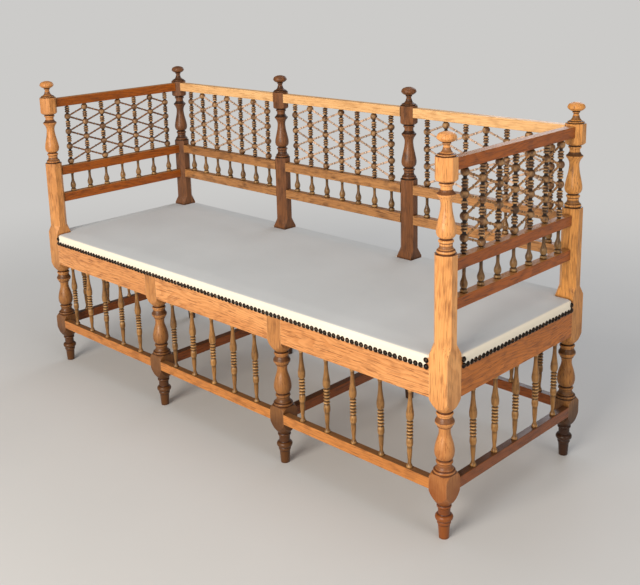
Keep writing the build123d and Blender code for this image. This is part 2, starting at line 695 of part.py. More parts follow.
for row, points in UNDER_ROWS.items():
    with BuildPart() as spindles:
        with Locations(*[(x, y, STRETCHER_TOP) for x, y in points]):
            add(spindle)
    write(spindles, f"seat_spindles_{row}")

for row, points in UPPER_ROWS.items():
    with BuildPart() as balusters:
        with Locations(*[(x, y, BACK_RAIL_TOP) for x, y in points]):
            add(baluster)
    write(balusters, f"balusters_{row}")

# ---------------------------------------------------------------- lattice
# Uprights alternate end for end, so that neighbouring balls sit half a pitch apart,
# and each ball is pegged to the balls half a pitch above and below it next door.
FIRST_LOW = {"back": True, "arm_left": True, "arm_right": False}


def ball_levels(low_end):
    return BALL_LEVELS_LOW if low_end else BALL_LEVELS_HIGH


def peg_pairs(row):
    """Ends of every peg in a row, bay by bay: pairs of ball centres."""
    points = UPPER_ROWS[row]
    bays = []
    for first in range(0, len(points), UPRIGHTS_PER_BAY):
        pairs = []
        for i in range(UPRIGHTS_PER_BAY - 1):
            here, there = points[first + i], points[first + i + 1]
            low_first = FIRST_LOW[row] == (i % 2 == 0)
            for a in ball_levels(low_first):
                for b in ball_levels(not low_first):
                    if abs(a - b) < BALL_PITCH * 0.75:
                        pairs.append(((*here, MID_RAIL_TOP + a), (*there, MID_RAIL_TOP + b)))
        bays.append(pairs)
    return bays


def peg_plane(here, there, distance=0.0):
    """Plane on a peg's axis, a distance from its first ball centre."""
    way = Vector(*there) - Vector(*here)
    return Plane(origin=Vector(*here) + way.normalized() * distance, z_dir=way)


def make_peg(reach):
    """Turned peg between two balls: pins, slim swelling shanks and a middle bead."""
    ball = math.sqrt(BALL_RADIUS ** 2 - PEG_END_RADIUS ** 2) + PIN_CLEARANCE
    pin = BALL_RADIUS - PEG_DEPTH
    half = reach / 2
    shank_bulge = PEG_SWELL - PEG_END_RADIUS
    with BuildPart() as piece:
        with BuildSketch(Plane.XZ):
            with BuildLine():
                here = draw((0.0, pin), [
                    ("line", (PEG_PIN_RADIUS, pin)),
                    ("line", (PEG_PIN_RADIUS, ball)),
                    ("line", (PEG_END_RADIUS, ball)),
                    ("arc", (PEG_END_RADIUS, half - PEG_BEAD_HALF), shank_bulge),
                    ("arc", (PEG_END_RADIUS, half + PEG_BEAD_HALF), PEG_BEAD - PEG_END_RADIUS),
                    ("arc", (PEG_END_RADIUS, reach - ball), shank_bulge),
                    ("line", (PEG_PIN_RADIUS, reach - ball)),
                    ("line", (PEG_PIN_RADIUS, reach - pin)),
                    ("line", (0.0, reach - pin)),
                ])
                Line(here, (0.0, pin))
            make_face()
        revolve(axis=Axis.Z)
    return piece.part


for row, points in UPPER_ROWS.items():
    bays = peg_pairs(row)
    peg = make_peg(math.dist(*bays[0][0]))
    seats = []
    for pairs in bays:
        for here, there in pairs:
            seats += [peg_plane(here, there, BALL_RADIUS), peg_plane(there, here, BALL_RADIUS)]
    with BuildPart() as uprights:
        places = []
        for i, (x, y) in enumerate(points):
            low_end = FIRST_LOW[row] == (i % UPRIGHTS_PER_BAY % 2 == 0)
            if low_end:
                places.append(Location((x, y, MID_RAIL_TOP)))
            else:
                places.append(Location((x, y, TOP_RAIL_LEVEL), (180, 0, 0)))
        with Locations(*places):
            add(upright)
        with Locations(*[plane.location for plane in seats]):
            Cylinder(PEG_PIN_RADIUS + PIN_CLEARANCE, 2 * (PEG_DEPTH + PIN_END_GAP / 2), mode=Mode.SUBTRACT)
    write(uprights, f"lattice_uprights_{row}")
    endings = [""] if len(bays) == 1 else [f"_{bay}" for bay in BAY_NAMES]
    for ending, pairs in zip(endings, bays):
        with BuildPart() as pegs:
            with Locations(*[peg_plane(here, there).location for here, there in pairs]):
                add(peg)
        write(pegs, f"lattice_pegs_{row}{ending}")

# ---------------------------------------------------------------- seat
slat_places = []
for low, high in X_SPANS:
    slat_places += divide(low, high, SLATS_PER_BAY)
SLAT_LENGTH = 2 * (Y_FACE - SEAT_RAIL_THICKNESS + REBATE_WIDTH - SLAT_END_GAP)
with BuildPart() as seat_slats:
    with Locations(*[(x, 0, SLAT_LEVEL + SLAT_THICKNESS / 2) for x in slat_places]):
        Box(SLAT_WIDTH, SLAT_LENGTH, SLAT_THICKNESS)
write(seat_slats, "seat_slats")

tall_places = [(x, Y_END) for x in X_LEGS] + [(-X_END, -Y_END), (X_END, -Y_END)]
short_places = [(x, -Y_END) for x in X_MIDS]
NOTCH = STOCK + 2 * SOFT_CLEARANCE


def notch(places, low, high):
    """Cut square clearance for legs through a soft piece."""
    with Locations(*[(x, y, (low + high) / 2) for x, y in places]):
        Box(NOTCH, NOTCH, high - low, mode=Mode.SUBTRACT)


def rounded_slab(half_x, half_y, top, low, radius):
    """Slab with rounded long top edges, inside an open BuildPart."""
    with Locations((0, 0, low)):
        Box(2 * half_x, 2 * half_y, top - low, align=(Align.CENTER, Align.CENTER, Align.MIN))
    fillet(faces().sort_by(Axis.Z)[-1].edges(), radius)


with BuildPart() as seat_pad:
    rounded_slab(X_FACE, Y_FACE, PAD_TOP, SEAT_RAIL_TOP, SEAT_ROUND - CLOTH)
    inner_x = X_FACE - SEAT_RAIL_THICKNESS - SOFT_CLEARANCE
    inner_y = Y_FACE - SEAT_RAIL_THICKNESS - SOFT_CLEARANCE
    with BuildSketch(Plane.XY.offset(SLAT_TOP)):
        Rectangle(2 * inner_x, 2 * inner_y)
    extrude(amount=SEAT_RAIL_TOP - SLAT_TOP)
    notch(tall_places, SLAT_TOP, PAD_TOP)
    notch(short_places, SLAT_TOP, SEAT_RAIL_TOP)
write(seat_pad, "seat_pad")

with BuildPart() as seat_cover:
    rounded_slab(X_FACE + CLOTH, Y_FACE + CLOTH, SEAT_TOP, COVER_BOTTOM, SEAT_ROUND)
    with BuildSketch(Plane.XY.offset(COVER_BOTTOM)):
        Rectangle(2 * X_FACE, 2 * Y_FACE)
    extrude(amount=SEAT_RAIL_TOP - COVER_BOTTOM, mode=Mode.SUBTRACT)
    add(seat_pad.part, mode=Mode.SUBTRACT)
    with Locations(*[(x + math.copysign(CLOTH, x) * (abs(x) == X_END), y + math.copysign(CLOTH, y),
                      (COVER_BOTTOM + SEAT_TOP) / 2) for x, y in tall_places]):
        Box(NOTCH + 2 * CLOTH, NOTCH + 2 * CLOTH, SEAT_TOP - COVER_BOTTOM, mode=Mode.SUBTRACT)
    with Locations(*[nail.location for nail in NAILS]):
        Cylinder(NAIL_SHANK_RADIUS + NAIL_CLEARANCE, 4 * CLOTH, mode=Mode.SUBTRACT)
write(seat_cover, "seat_cover")

# ---------------------------------------------------------------- nailhead trim
# The head is a cap of a ball, drawn as two equal arcs.
BALL = (NAIL_RADIUS ** 2 + NAIL_DOME ** 2) / (2 * NAIL_DOME)
DOME_ANGLE = math.asin(NAIL_RADIUS / BALL)
DOME_SHOULDER = (BALL * math.sin(DOME_ANGLE / 2), NAIL_DOME - BALL + BALL * math.cos(DOME_ANGLE / 2))
DOME_SAG = BALL * (1 - math.cos(DOME_ANGLE / 4))

with BuildPart() as nail:
    with BuildSketch(Plane.XZ):
        with BuildLine():
            here = draw((0.0, -NAIL_SHANK), [
                ("line", (NAIL_SHANK_RADIUS, -NAIL_SHANK)),
                ("line", (NAIL_SHANK_RADIUS, 0.0)),
                ("line", (NAIL_RADIUS, 0.0)),
            ])
            here = draw(here, [("arc", DOME_SHOULDER, DOME_SAG), ("arc", (0.0, NAIL_DOME), DOME_SAG)])
            Line(here, (0.0, -NAIL_SHANK))
        make_face()
    revolve(axis=Axis.Z)

with BuildPart() as nailhead_trim:
    with Locations(*[place.location for place in NAILS]):
        add(nail.part)
write(nailhead_trim, "nailhead_trim")
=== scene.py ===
import logging
import math
from dataclasses import dataclass, field
from enum import Enum

import bmesh
import bpy
from bpy.types import Material, Mesh, Node, NodeSocket, Object
from mathutils import Matrix, Vector, noise


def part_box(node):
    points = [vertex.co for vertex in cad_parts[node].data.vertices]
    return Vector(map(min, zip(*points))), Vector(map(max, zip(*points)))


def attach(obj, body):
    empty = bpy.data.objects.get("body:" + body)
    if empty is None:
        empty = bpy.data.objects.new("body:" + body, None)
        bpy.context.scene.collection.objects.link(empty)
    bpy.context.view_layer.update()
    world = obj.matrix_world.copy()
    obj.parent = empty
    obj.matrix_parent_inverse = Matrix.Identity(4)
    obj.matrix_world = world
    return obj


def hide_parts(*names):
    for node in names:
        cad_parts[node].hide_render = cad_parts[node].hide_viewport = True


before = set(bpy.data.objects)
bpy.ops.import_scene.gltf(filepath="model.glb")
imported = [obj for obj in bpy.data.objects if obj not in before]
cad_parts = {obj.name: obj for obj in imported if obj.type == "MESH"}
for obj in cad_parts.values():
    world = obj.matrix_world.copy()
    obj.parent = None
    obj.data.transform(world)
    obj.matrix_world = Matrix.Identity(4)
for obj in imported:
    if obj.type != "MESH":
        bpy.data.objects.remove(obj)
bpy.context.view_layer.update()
log = logging.getLogger("takht")

MM = 0.001
UP = Vector((0, 0, 1))

Run = tuple[Vector, Vector, Vector]              # start, end and the way each member's top points
Strokes = tuple[tuple[float, ...], ...]          # radius, share of the height, and an arc's swell in mm
Rings = tuple[tuple[float, float, float], ...]   # level, half width and share of brown, from low to high


# ---- small helpers
def linear(code: str) -> tuple[float, float, float, float]:
    """Turn an sRGB hex colour into the linear colour, with alpha, that shaders read."""
    channels = [int(code[i:i + 2], 16) / 255 for i in (0, 2, 4)]
    return (*(c / 12.92 if c <= 0.04045 else ((c + 0.055) / 1.055) ** 2.4 for c in channels), 1.0)


def finished(mesh: Mesh, name: str, material: Material | None = None) -> Object:
    """Put a mesh in the scene as a smooth object at the origin.

    Args:
        mesh: geometry in the row frame.
        name: piece name.
        material: what it wears, where the mesh doesn't carry it already.

    Returns:
        The new object.
    """
    made = bpy.data.objects.new(name, mesh)
    bpy.context.scene.collection.objects.link(made)
    mesh.polygons.foreach_set("use_smooth", [True] * len(mesh.polygons))
    if material:
        mesh.materials.clear()
        mesh.materials.append(material)
    return made


def meshed(shape: bmesh.types.BMesh, name: str) -> Mesh:
    """Turn a working shape into a mesh, without the points that no face uses.

    Args:
        shape: the working shape, freed here.
        name: the mesh's name.

    Returns:
        The mesh.
    """
    bmesh.ops.delete(shape, geom=[v for v in shape.verts if not v.link_faces], context="VERTS")
    mesh = bpy.data.meshes.new(name)
    shape.to_mesh(mesh)
    shape.free()
    return mesh


def evaluated(thing: Object) -> Mesh:
    """A new plain mesh of an object as its modifiers leave it."""
    graph = bpy.context.evaluated_depsgraph_get()
    return bpy.data.meshes.new_from_object(thing.evaluated_get(graph))


def declare(piece: Object, replaced: str) -> None:
    """Say what a piece rides on and which CAD node it stands for, and hide that node.

    Args:
        piece: the finished piece.
        replaced: the CAD node.
    """
    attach(piece, "root")
    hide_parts(replaced)
    log.info("made %s with %d faces for %s", piece.name, len(piece.data.polygons), replaced)


class Bench:
    """A node tree and the function that adds to it."""

    FAMILIES = ("ShaderNode", "GeometryNode", "FunctionNode", "Node")

    def __init__(self, tree: bpy.types.NodeTree) -> None:
        """Work on this tree."""
        self.tree = tree

    def add(self, kind: str, inputs: dict | None = None, stops: tuple[tuple[float, float], ...] = (),
            **settings: object) -> Node:
        """Add a node with its settings, inputs and links.

        Args:
            kind: Blender's name of the node class, without its family.
            inputs: as fill takes them.
            stops: position and grey value of each stop of a colour ramp, in order.
            settings: attributes of the node.

        Returns:
            The new node.
        """
        full = next(family + kind for family in self.FAMILIES if hasattr(bpy.types, family + kind))
        made = self.tree.nodes.new(full)
        for name, value in settings.items():
            setattr(made, name, value)
        self.fill(made, inputs or {})
        for i, (position, grey) in enumerate(stops):
            elements = made.color_ramp.elements
            element = elements[i] if i < 2 else elements.new(position)
            element.position = position
            element.color = (grey, grey, grey, 1.0)
        return made

    def fill(self, made: Node, inputs: dict) -> None:
        """Set or link a node's inputs.

        Args:
            made: the node.
            inputs: socket name or index to a value, a socket, or a node whose first live output is meant.
        """
        for name, value in inputs.items():
            socket = made.inputs[name] if isinstance(name, int) else next(
                s for s in made.inputs if s.name == name and s.enabled)
            if isinstance(value, Node):
                value = next(s for s in value.outputs if s.enabled)
            if isinstance(value, NodeSocket):
                self.tree.links.new(value, socket)
            else:
                socket.default_value = value


class Surface(Bench):
    """A new material with one Principled shader, patterned on object coordinates."""

    def __init__(self, name: str) -> None:
        """Start the material.

        Args:
            name: its common name.
        """
        self.material = bpy.data.materials.new(name)
        self.material.use_nodes = True
        super().__init__(self.material.node_tree)
        self.tree.nodes.clear()
        self.shader = self.add("BsdfPrincipled")
        self.output = self.add("OutputMaterial", {"Surface": self.shader})
        coords = self.add("TexCoord").outputs
        self.place, self.normal = coords["Object"], coords["Normal"]

    def settle(self, inputs: dict) -> Material:
        """Fill the shader's inputs, and hand the material over."""
        self.fill(self.shader, inputs)
        return self.material


# ---- wood
class Grain(Enum):
    """Way the fibres run: world axes read as across, across and along."""

    ALONG_X = "YZX"
    ALONG_Y = "ZXY"
    UPRIGHT = "XYZ"


@dataclass(frozen=True)
class Streaks:
    """Noise drawn out along the fibres."""

    width: float             # across the fibres
    stretch: float           # frequency along the fibres, as a share of that across
    low: float               # noise that gives 0
    high: float              # noise that gives 1
    detail: float = 2.0      # octaves


# Real pores are 0.3 mm wide and fibres finer. Both are drawn coarser so that they show.
PORES = Streaks(2.381 * MM, 0.055, 0.57, 0.66)
FIBRES = Streaks(1.5625 * MM, 0.045, 0.35, 0.75)
TONE = Streaks(111.11 * MM, 0.22, 0.38, 0.66)
BLOTCHES = Streaks(19.231 * MM, 0.5, 0.50, 0.76, 6.0)


@dataclass(frozen=True)
class WoodFinish:
    """Waxed open-pored hardwood: the wax gives a low sheen, the pores dark flecks, the hands pale edges."""

    name: str
    light: str                     # early wood
    dark: str                      # late wood
    pore: str                      # wax and dirt in the pores
    grime_and_shade: str                     # old stain in grooves and burnt rings, and painted shade in occluded corners and grooves
    worn: str                      # rubbed edges
    ring_width: float = 7.5 * MM   # real rings are 2 to 3 mm, drawn coarser so that they show
    ring_share: float = 0.42
    tone_share: float = 0.40
    fibre_share: float = 0.22
    pore_share: float = 0.60
    stain_share: float = 0.50      # blotches of old wax and handling
    wear_share: float = 0.35
    wear_reach: float = 3.5 * MM
    # how dark and how far the occluded places go: old grime, and painted shade
    grime_and_shade_share: float = 0.90
    grime_and_shade_reach: float = 9 * MM
    relief: float = 0.5 * MM       # depth of pores and fibres
    roughness: float = 0.42
    coat: float = 0.10
    top_dust: str = ""             # colour of upward faces
    upward_share: float = 0.8
    foot: str = ""                 # colour towards the floor
    foot_top: float = 0.42
    foot_cloud: float = 45.455 * MM   # its ragged upper edge
    turned: bool = False           # reads the marks that a row of turned members carries
    mark_share: float = 0.9
    bare_patch: float = 13.333 * MM   # what hands have rubbed on a member
    burnt: tuple[Rings, ...] = ()
    burnt_share: float = 0.95
    burnt_waver: float = 16.667 * MM


class Timber(Surface):
    """Wood painted coat by coat, in the order in which it aged."""

    def __init__(self, finish: WoodFinish, grain: Grain) -> None:
        """Set up the log that each piece or member was cut from, with the fibres along its third axis.

        Args:
            finish: the wood and its age.
            grain: the way the fibres run.
        """
        super().__init__(f"{finish.name}_{grain.name.lower()}")
        self.finish = finish
        self.colour: Node | tuple[float, ...] = linear(finish.light)
        self.axes = self.add("SeparateXYZ", {"Vector": self.place}).outputs
        turned = self.add("CombineXYZ", {to: self.axes[axis] for to, axis in zip("XYZ", grain.value)})
        random = self.add("ObjectInfo").outputs["Random"]
        self.marks = {name: self.add("Attribute", attribute_name=name).outputs["Fac"]
                      for name in ("tone", "rubbed", "soiled_and_shaded") if finish.turned}
        if finish.turned:
            random = self.add("Math", {0: random, 1: self.marks["tone"]}, operation="ADD")
        shift = self.add("VectorMath", {0: (0.83, 1.37, 5.1), "Scale": random}, operation="SCALE")
        self.board = self.add("VectorMath", {0: turned, 1: shift}, operation="ADD")

    def paint(self) -> Material:
        """Lay every coat and cut the relief.

        Returns:
            The finished material.
        """
        wood = self.finish
        pores, fibres = self.streaks(PORES), self.streaks(FIBRES)
        self.lay(self.rings(), wood.ring_share, wood.dark)
        self.lay(self.streaks(TONE), wood.tone_share, wood.dark)
        self.lay(fibres, wood.fibre_share, wood.dark)
        self.lay(pores, wood.pore_share, wood.pore)
        self.lay(self.streaks(BLOTCHES), wood.stain_share, wood.pore)
        edge = self.add("AmbientOcclusion", {"Distance": wood.wear_reach}, samples=4, inside=True,
                        only_local=True)
        rubbed = self.add("ValToRGB", {"Fac": edge.outputs["AO"]}, ((0.30, 1.0), (0.75, 0.0)))
        self.lay(rubbed, wood.wear_share, wood.worn)
        if wood.turned:
            self.mark_members()
        # Upward faces take their own colour.
        if wood.top_dust:
            up = self.add("SeparateXYZ", {"Vector": self.normal}).outputs["Z"]
            facing = self.add("ValToRGB", {"Fac": up}, ((0.55, 0.0), (0.95, 1.0)))
            self.lay(facing, wood.upward_share, wood.top_dust)
        # Darker towards the floor: stain and dirt, and painted shade low on the legs.
        if wood.foot:
            self.lay(self.towards_floor(), 1.0, wood.foot)
        for rings in wood.burnt:
            self.lay(self.burnt_in(rings), wood.burnt_share, wood.grime_and_shade)
        # Darker where ambient occlusion finds the wood hemmed in: old grime in grooves and joints, and
        # painted shade.
        hollow = self.add("AmbientOcclusion", {"Distance": wood.grime_and_shade_reach}, samples=6)
        occluded_grime_and_shade = self.add("ValToRGB", {"Fac": hollow.outputs["AO"]}, ((0.22, 1.0), (0.78, 0.0)))
        self.lay(occluded_grime_and_shade, wood.grime_and_shade_share, wood.grime_and_shade)
        gloss = self.add("MapRange",
                         {"Value": fibres, "To Min": wood.roughness - 0.05, "To Max": wood.roughness + 0.12})
        height = self.add("Math", {0: fibres, 1: pores}, operation="SUBTRACT")
        bump = self.add("Bump", {"Height": height, "Strength": 0.30, "Distance": wood.relief})
        return self.settle({"Base Color": self.colour, "Roughness": gloss, "Normal": bump,
                            "Specular IOR Level": 0.34, "Coat Weight": wood.coat, "Coat Roughness": 0.24})

    def lay(self, pattern: Node | NodeSocket, share: float, paint: str) -> None:
        """Lay a paint over the colour so far: where the pattern is 1, it covers by its share."""
        amount = self.add("Math", {0: pattern, 1: share}, operation="MULTIPLY")
        self.colour = self.add("Mix", {"Factor": amount, "A": self.colour, "B": linear(paint)},
                               data_type="RGBA")

    def streaks(self, kind: Streaks) -> Node:
        """Draw one kind of streak in the board.

        Args:
            kind: its size and strength.

        Returns:
            A grey pattern from 0 to 1.
        """
        drawn = self.add("Mapping", {"Vector": self.board, "Scale": (1.0, 1.0, kind.stretch)})
        pattern = self.add("TexNoise", {"Vector": drawn, "Scale": 1 / kind.width, "Detail": kind.detail})
        return self.add("MapRange", {"Value": pattern, "From Min": kind.low, "From Max": kind.high})

    def rings(self) -> Node:
        """Growth rings round the log's heart, wavering along its length.

        Returns:
            A grey pattern, 1 in late wood.
        """
        drawn, flat = (self.add("Mapping", {"Vector": self.board, "Scale": (1.0, 1.0, along)})
                       for along in (0.30, 0.0))
        waver = self.add("TexNoise", {"Vector": drawn, "Scale": 1 / TONE.width, "Detail": 2.0})
        heart = self.add("VectorMath", {0: flat}, operation="LENGTH").outputs["Value"]
        shifted = self.add("Math", {0: waver, 1: 0.11, 2: heart}, operation="MULTIPLY_ADD")
        count = self.add("Math", {0: shifted, 1: self.finish.ring_width}, operation="DIVIDE")
        part = self.add("Math", {0: count}, operation="FRACT")
        return self.add("ValToRGB", {"Fac": part},
                        ((0.0, 0.1), (0.40, 0.15), (0.78, 0.8), (0.90, 1.0), (1.0, 0.1)))

    def mark_members(self) -> None:
        """Set a row's members a shade apart, paler on their swells as wear and painted highlight, and darker
        in their grooves as grime and painted shade.
        """
        shade = self.add("MapRange", {"Value": self.marks["tone"], "To Min": 0.70, "To Max": 1.25})
        self.colour = self.add("HueSaturation", {"Color": self.colour, "Value": shade})
        patchy = self.add("TexNoise",
                          {"Vector": self.place, "Scale": 1 / self.finish.bare_patch, "Detail": 1.5})
        bare = self.add("MapRange", {"Value": patchy, "From Min": 0.40, "From Max": 0.62})
        # Swells turn pale: wear, and painted highlight.
        wear = self.add("Math", {0: bare, 1: self.marks["rubbed"]}, operation="MULTIPLY")
        self.lay(wear, self.finish.mark_share, self.finish.worn)
        # Grooves turn dark: grime, and painted shade.
        self.lay(self.marks["soiled_and_shaded"], self.finish.mark_share, self.finish.grime_and_shade)

    def towards_floor(self) -> Node:
        """Darker towards the feet: old stain and floor dirt, and painted shade.

        Returns:
            A grey pattern, 1 at the floor.
        """
        cloud = self.add("TexNoise",
                         {"Vector": self.board, "Scale": 1 / self.finish.foot_cloud, "Detail": 3.0})
        lifted = self.add("Math", {0: cloud, 1: -0.12, 2: self.axes["Z"]}, operation="MULTIPLY_ADD")
        height = self.add("MapRange",
                          {"Value": lifted, "From Min": self.finish.foot_top - 0.06, "From Max": -0.03})
        return self.add("ValToRGB", {"Fac": height}, ((0.0, 0.0), (0.40, 0.32), (0.68, 0.72), (0.86, 0.98)))

    def burnt_in(self, rings: Rings, soft: float = 0.8) -> Node:
        """Brown that the turner's friction and old wax left at certain levels.

        Args:
            rings: where it lies, in millimetres.
            soft: width of its edges, and half its waver.

        Returns:
            A grey pattern, 1 where the wood is darkest.
        """
        stops = [(level + side * (half + edge), share * (edge == 0)) for level, half, share in rings
                 for side, edge in ((-1, soft), (-1, 0), (1, 0), (1, soft))]
        low, high = stops[0][0], stops[-1][0]
        wobble = self.add("TexNoise",
                          {"Vector": self.board, "Scale": 1 / self.finish.burnt_waver, "Detail": 1.0})
        level = self.add("Math", {0: wobble, 1: 2 * soft * MM, 2: self.axes["Z"]}, operation="MULTIPLY_ADD")
        place = self.add("MapRange",
                         {"Value": level, "From Min": (low + soft) * MM, "From Max": (high + soft) * MM})
        reach = high - low
        return self.add("ValToRGB", {"Fac": place}, tuple(((z - low) / reach, share) for z, share in stops))


def dress(finish: WoodFinish, grain: Grain, *starts: str) -> None:
    """Put a wood on CAD nodes.

    Args:
        finish: the wood.
        grain: the way its fibres run.
        starts: how the nodes' names begin.
    """
    material = Timber(finish, grain).paint()
    for name in sorted(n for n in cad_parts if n.startswith(starts)):
        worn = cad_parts[name].data.materials
        worn.clear()
        worn.append(material)
        log.info("dressed %s in %s", name, material.name)


# ---- setting out
@dataclass(frozen=True)
class Plan:
    """Leg centres and rail levels that the rows are set out from."""

    leg_x: float = 781.0 * MM
    leg_y: float = 258.5 * MM
    bays: int = 3
    block: float = 25.0 * MM
    stretcher_top: float = 149.0 * MM
    seat_rail_bottom: float = 343.5 * MM
    bottom_rail_top: float = 569.0 * MM
    middle_rail_bottom: float = 630.0 * MM
    middle_rail_top: float = 657.0 * MM
    top_rail_bottom: float = 850.0 * MM

    def legs(self) -> list[float]:
        """Leg centres along the seat."""
        return [self.leg_x * (2 * i / self.bays - 1) for i in range(self.bays + 1)]

    def runs(self, side: str, out: float = 0.0) -> list[tuple[Vector, Vector]]:
        """Plan lines from leg centre to leg centre, one for each bay.

        Args:
            side: front, back, or a name that ends in left or right.
            out: how far the line lies outside the leg centres.

        Returns:
            Low and high end of each bay.
        """
        way = -1 if side.endswith(("front", "left")) else 1
        if side in ("front", "back"):
            legs, y = self.legs(), way * (self.leg_y + out)
            return [(Vector((a, y, 0)), Vector((b, y, 0))) for a, b in zip(legs, legs[1:])]
        x = way * (self.leg_x + out)
        return [(Vector((x, -self.leg_y, 0)), Vector((x, self.leg_y, 0)))]


# ---- sub-assemblies kept from the CAD
FOOT_RINGS = ((34.5, 1.0, 0.85), (44.6, 1.2, 0.95), (61.4, 1.2, 0.9), (69.5, 4.5, 0.4), (76.9, 1.0, 0.8),
              (84.9, 1.5, 0.9))
LEG_RINGS = ((164.6, 1.1, 0.85), (172.6, 1.1, 0.9), (179.6, 4.0, 0.55), (187.2, 1.0, 0.75), (196.4, 1.8, 1.0),
             (276.0, 1.3, 0.8), (294.0, 6.0, 0.8), (311.8, 1.8, 0.95))
VASE_RINGS = ((673.8, 1.1, 0.9), (682.0, 1.1, 0.9), (688.0, 3.2, 0.7), (697.0, 1.2, 0.7), (706.4, 1.8, 1.0),
              (807.4, 4.2, 0.9), (827.8, 1.8, 0.95))
CAP_RINGS = ((883.8, 1.1, 0.9), (888.2, 1.1, 0.9), (896.0, 4.6, 0.7), (906.5, 1.2, 0.7), (911.6, 1.6, 0.95))
BURNT_RINGS = (FOOT_RINGS, LEG_RINGS, VASE_RINGS, CAP_RINGS)


@dataclass
class TurnedLegs:
    """Posts and short legs, turned from two-inch squares that have aged apart."""

    # Turned and waxed oak: light runs round the swells, and friction has burnt the grooves brown.
    golden: WoodFinish = WoodFinish("golden_waxed_oak", "F2B06C", "C07634", "7C4016", "4A2210", "FFD9A4",
                                    foot="824412", burnt=BURNT_RINGS, coat=0.15)
    amber: WoodFinish = WoodFinish("amber_waxed_oak", "DE9C5A", "AA682E", "623310", "38190A", "F6C48A",
                                   foot="56320F", foot_top=0.50, burnt=BURNT_RINGS, coat=0.15)
    # Near-black foot: painted shade, for this back corner post stands in shade.
    dark_footed: WoodFinish = WoodFinish("dark_footed_oak", "E8A456", "A86428", "562A0E", "2C1408", "F8C080",
                                    foot="301603", burnt=BURNT_RINGS, coat=0.15)
    brown: WoodFinish = WoodFinish("brown_waxed_oak", "885630", "523016", "32190B", "221208", "C89660",
                                   foot="3E2410", burnt=BURNT_RINGS, stain_share=0.75)

    def dress(self) -> None:
        """Wear the finishes with the fibres upright."""
        dress(self.golden, Grain.UPRIGHT, "post_front_right")
        dress(self.amber, Grain.UPRIGHT, "post_front_left", "leg_")
        dress(self.dark_footed, Grain.UPRIGHT, "post_back_right")
        dress(self.brown, Grain.UPRIGHT, "post_back_left", "post_back_mid")


@dataclass
class SeatFrame:
    """Seat rails and the slats that they carry."""

    # Planed and waxed oak: long dark pores along a rail. The slats are bare pine, which stays dull.
    front: WoodFinish = WoodFinish("honey_rail_oak", "E8A668", "B87034", "7C4218", "4A2210", "FFD9A4",
                                   ring_share=0.55, pore_share=0.75)
    # Side rails darker and more orange than the front and back: partly the wood's own tone, partly painted
    # shade.
    side: WoodFinish = WoodFinish("orange_rail_oak", "CE7828", "925014", "5C2C0A", "36180A", "F0AC62",
                                  ring_share=0.6, pore_share=0.7)
    slat: WoodFinish = WoodFinish("bare_slat_pine", "C9A878", "A9855A", "7A5C38", "4A3826", "D8BC92")

    def dress(self) -> None:
        """Wear the finishes, with the fibres along each rail."""
        dress(self.front, Grain.ALONG_X, "seat_rail_front", "seat_rail_back")
        dress(self.side, Grain.ALONG_Y, "seat_rail_left", "seat_rail_right")
        dress(self.slat, Grain.ALONG_Y, "seat_slats")


@dataclass
class Stretchers:
    """Low stretchers: the back, side and cross ones darker, as painted shade under the seat."""

    # Waxed oak, another colour on the upward faces, and a wet look on the dark ones where feet polish them.
    front: WoodFinish = WoodFinish("amber_stretcher_oak", "D28A44", "985824", "5A2C0E", "341808", "E8AE6C",
                                   top_dust="6A4C30", stain_share=0.55)
    # painted shade: a darker copy for the stretchers under the seat
    dark: WoodFinish = WoodFinish("red_brown_stretcher_oak", "96501C", "603010", "371A08", "1E0E06", "C47C38",
                                  top_dust="4E3624", roughness=0.34)

    def dress(self) -> None:
        """Wear the finishes, with the fibres along each stretcher."""
        dress(self.front, Grain.ALONG_X, "stretcher_front")
        dress(self.dark, Grain.ALONG_X, "stretcher_back")
        dress(self.dark, Grain.ALONG_Y, "stretcher_left", "stretcher_right", "cross_stretcher")


@dataclass
class GuardRails:
    """Rails of the back and the arms: the back's top rail is paler than the rails below it, partly painted
    light.
    """

    # Waxed oak: the top rail pale and dry, partly painted light, and the arms a deep orange, partly stain and
    # partly painted shade.
    pale_top: WoodFinish = WoodFinish("pale_top_rail_oak", "F4C68C", "D09658", "9A6430", "56300F", "FFE2B0",
                                      ring_share=0.4)
    honey: WoodFinish = WoodFinish("honey_brown_rail_oak", "BC8650", "805028", "4A2A12", "341C0C", "EEBE88",
                                   stain_share=0.75)
    arm: WoodFinish = WoodFinish("deep_orange_rail_oak", "B05C10", "78390A", "4C2408", "2E1606", "DE9448",
                                 top_dust="B07A44", ring_share=0.5, stain_share=0.55)

    def dress(self) -> None:
        """Wear the finishes, with the fibres along each rail."""
        dress(self.pale_top, Grain.ALONG_X, "back_top")
        dress(self.honey, Grain.ALONG_X, "back_middle", "back_bottom")
        dress(self.arm, Grain.ALONG_Y, "arm_")


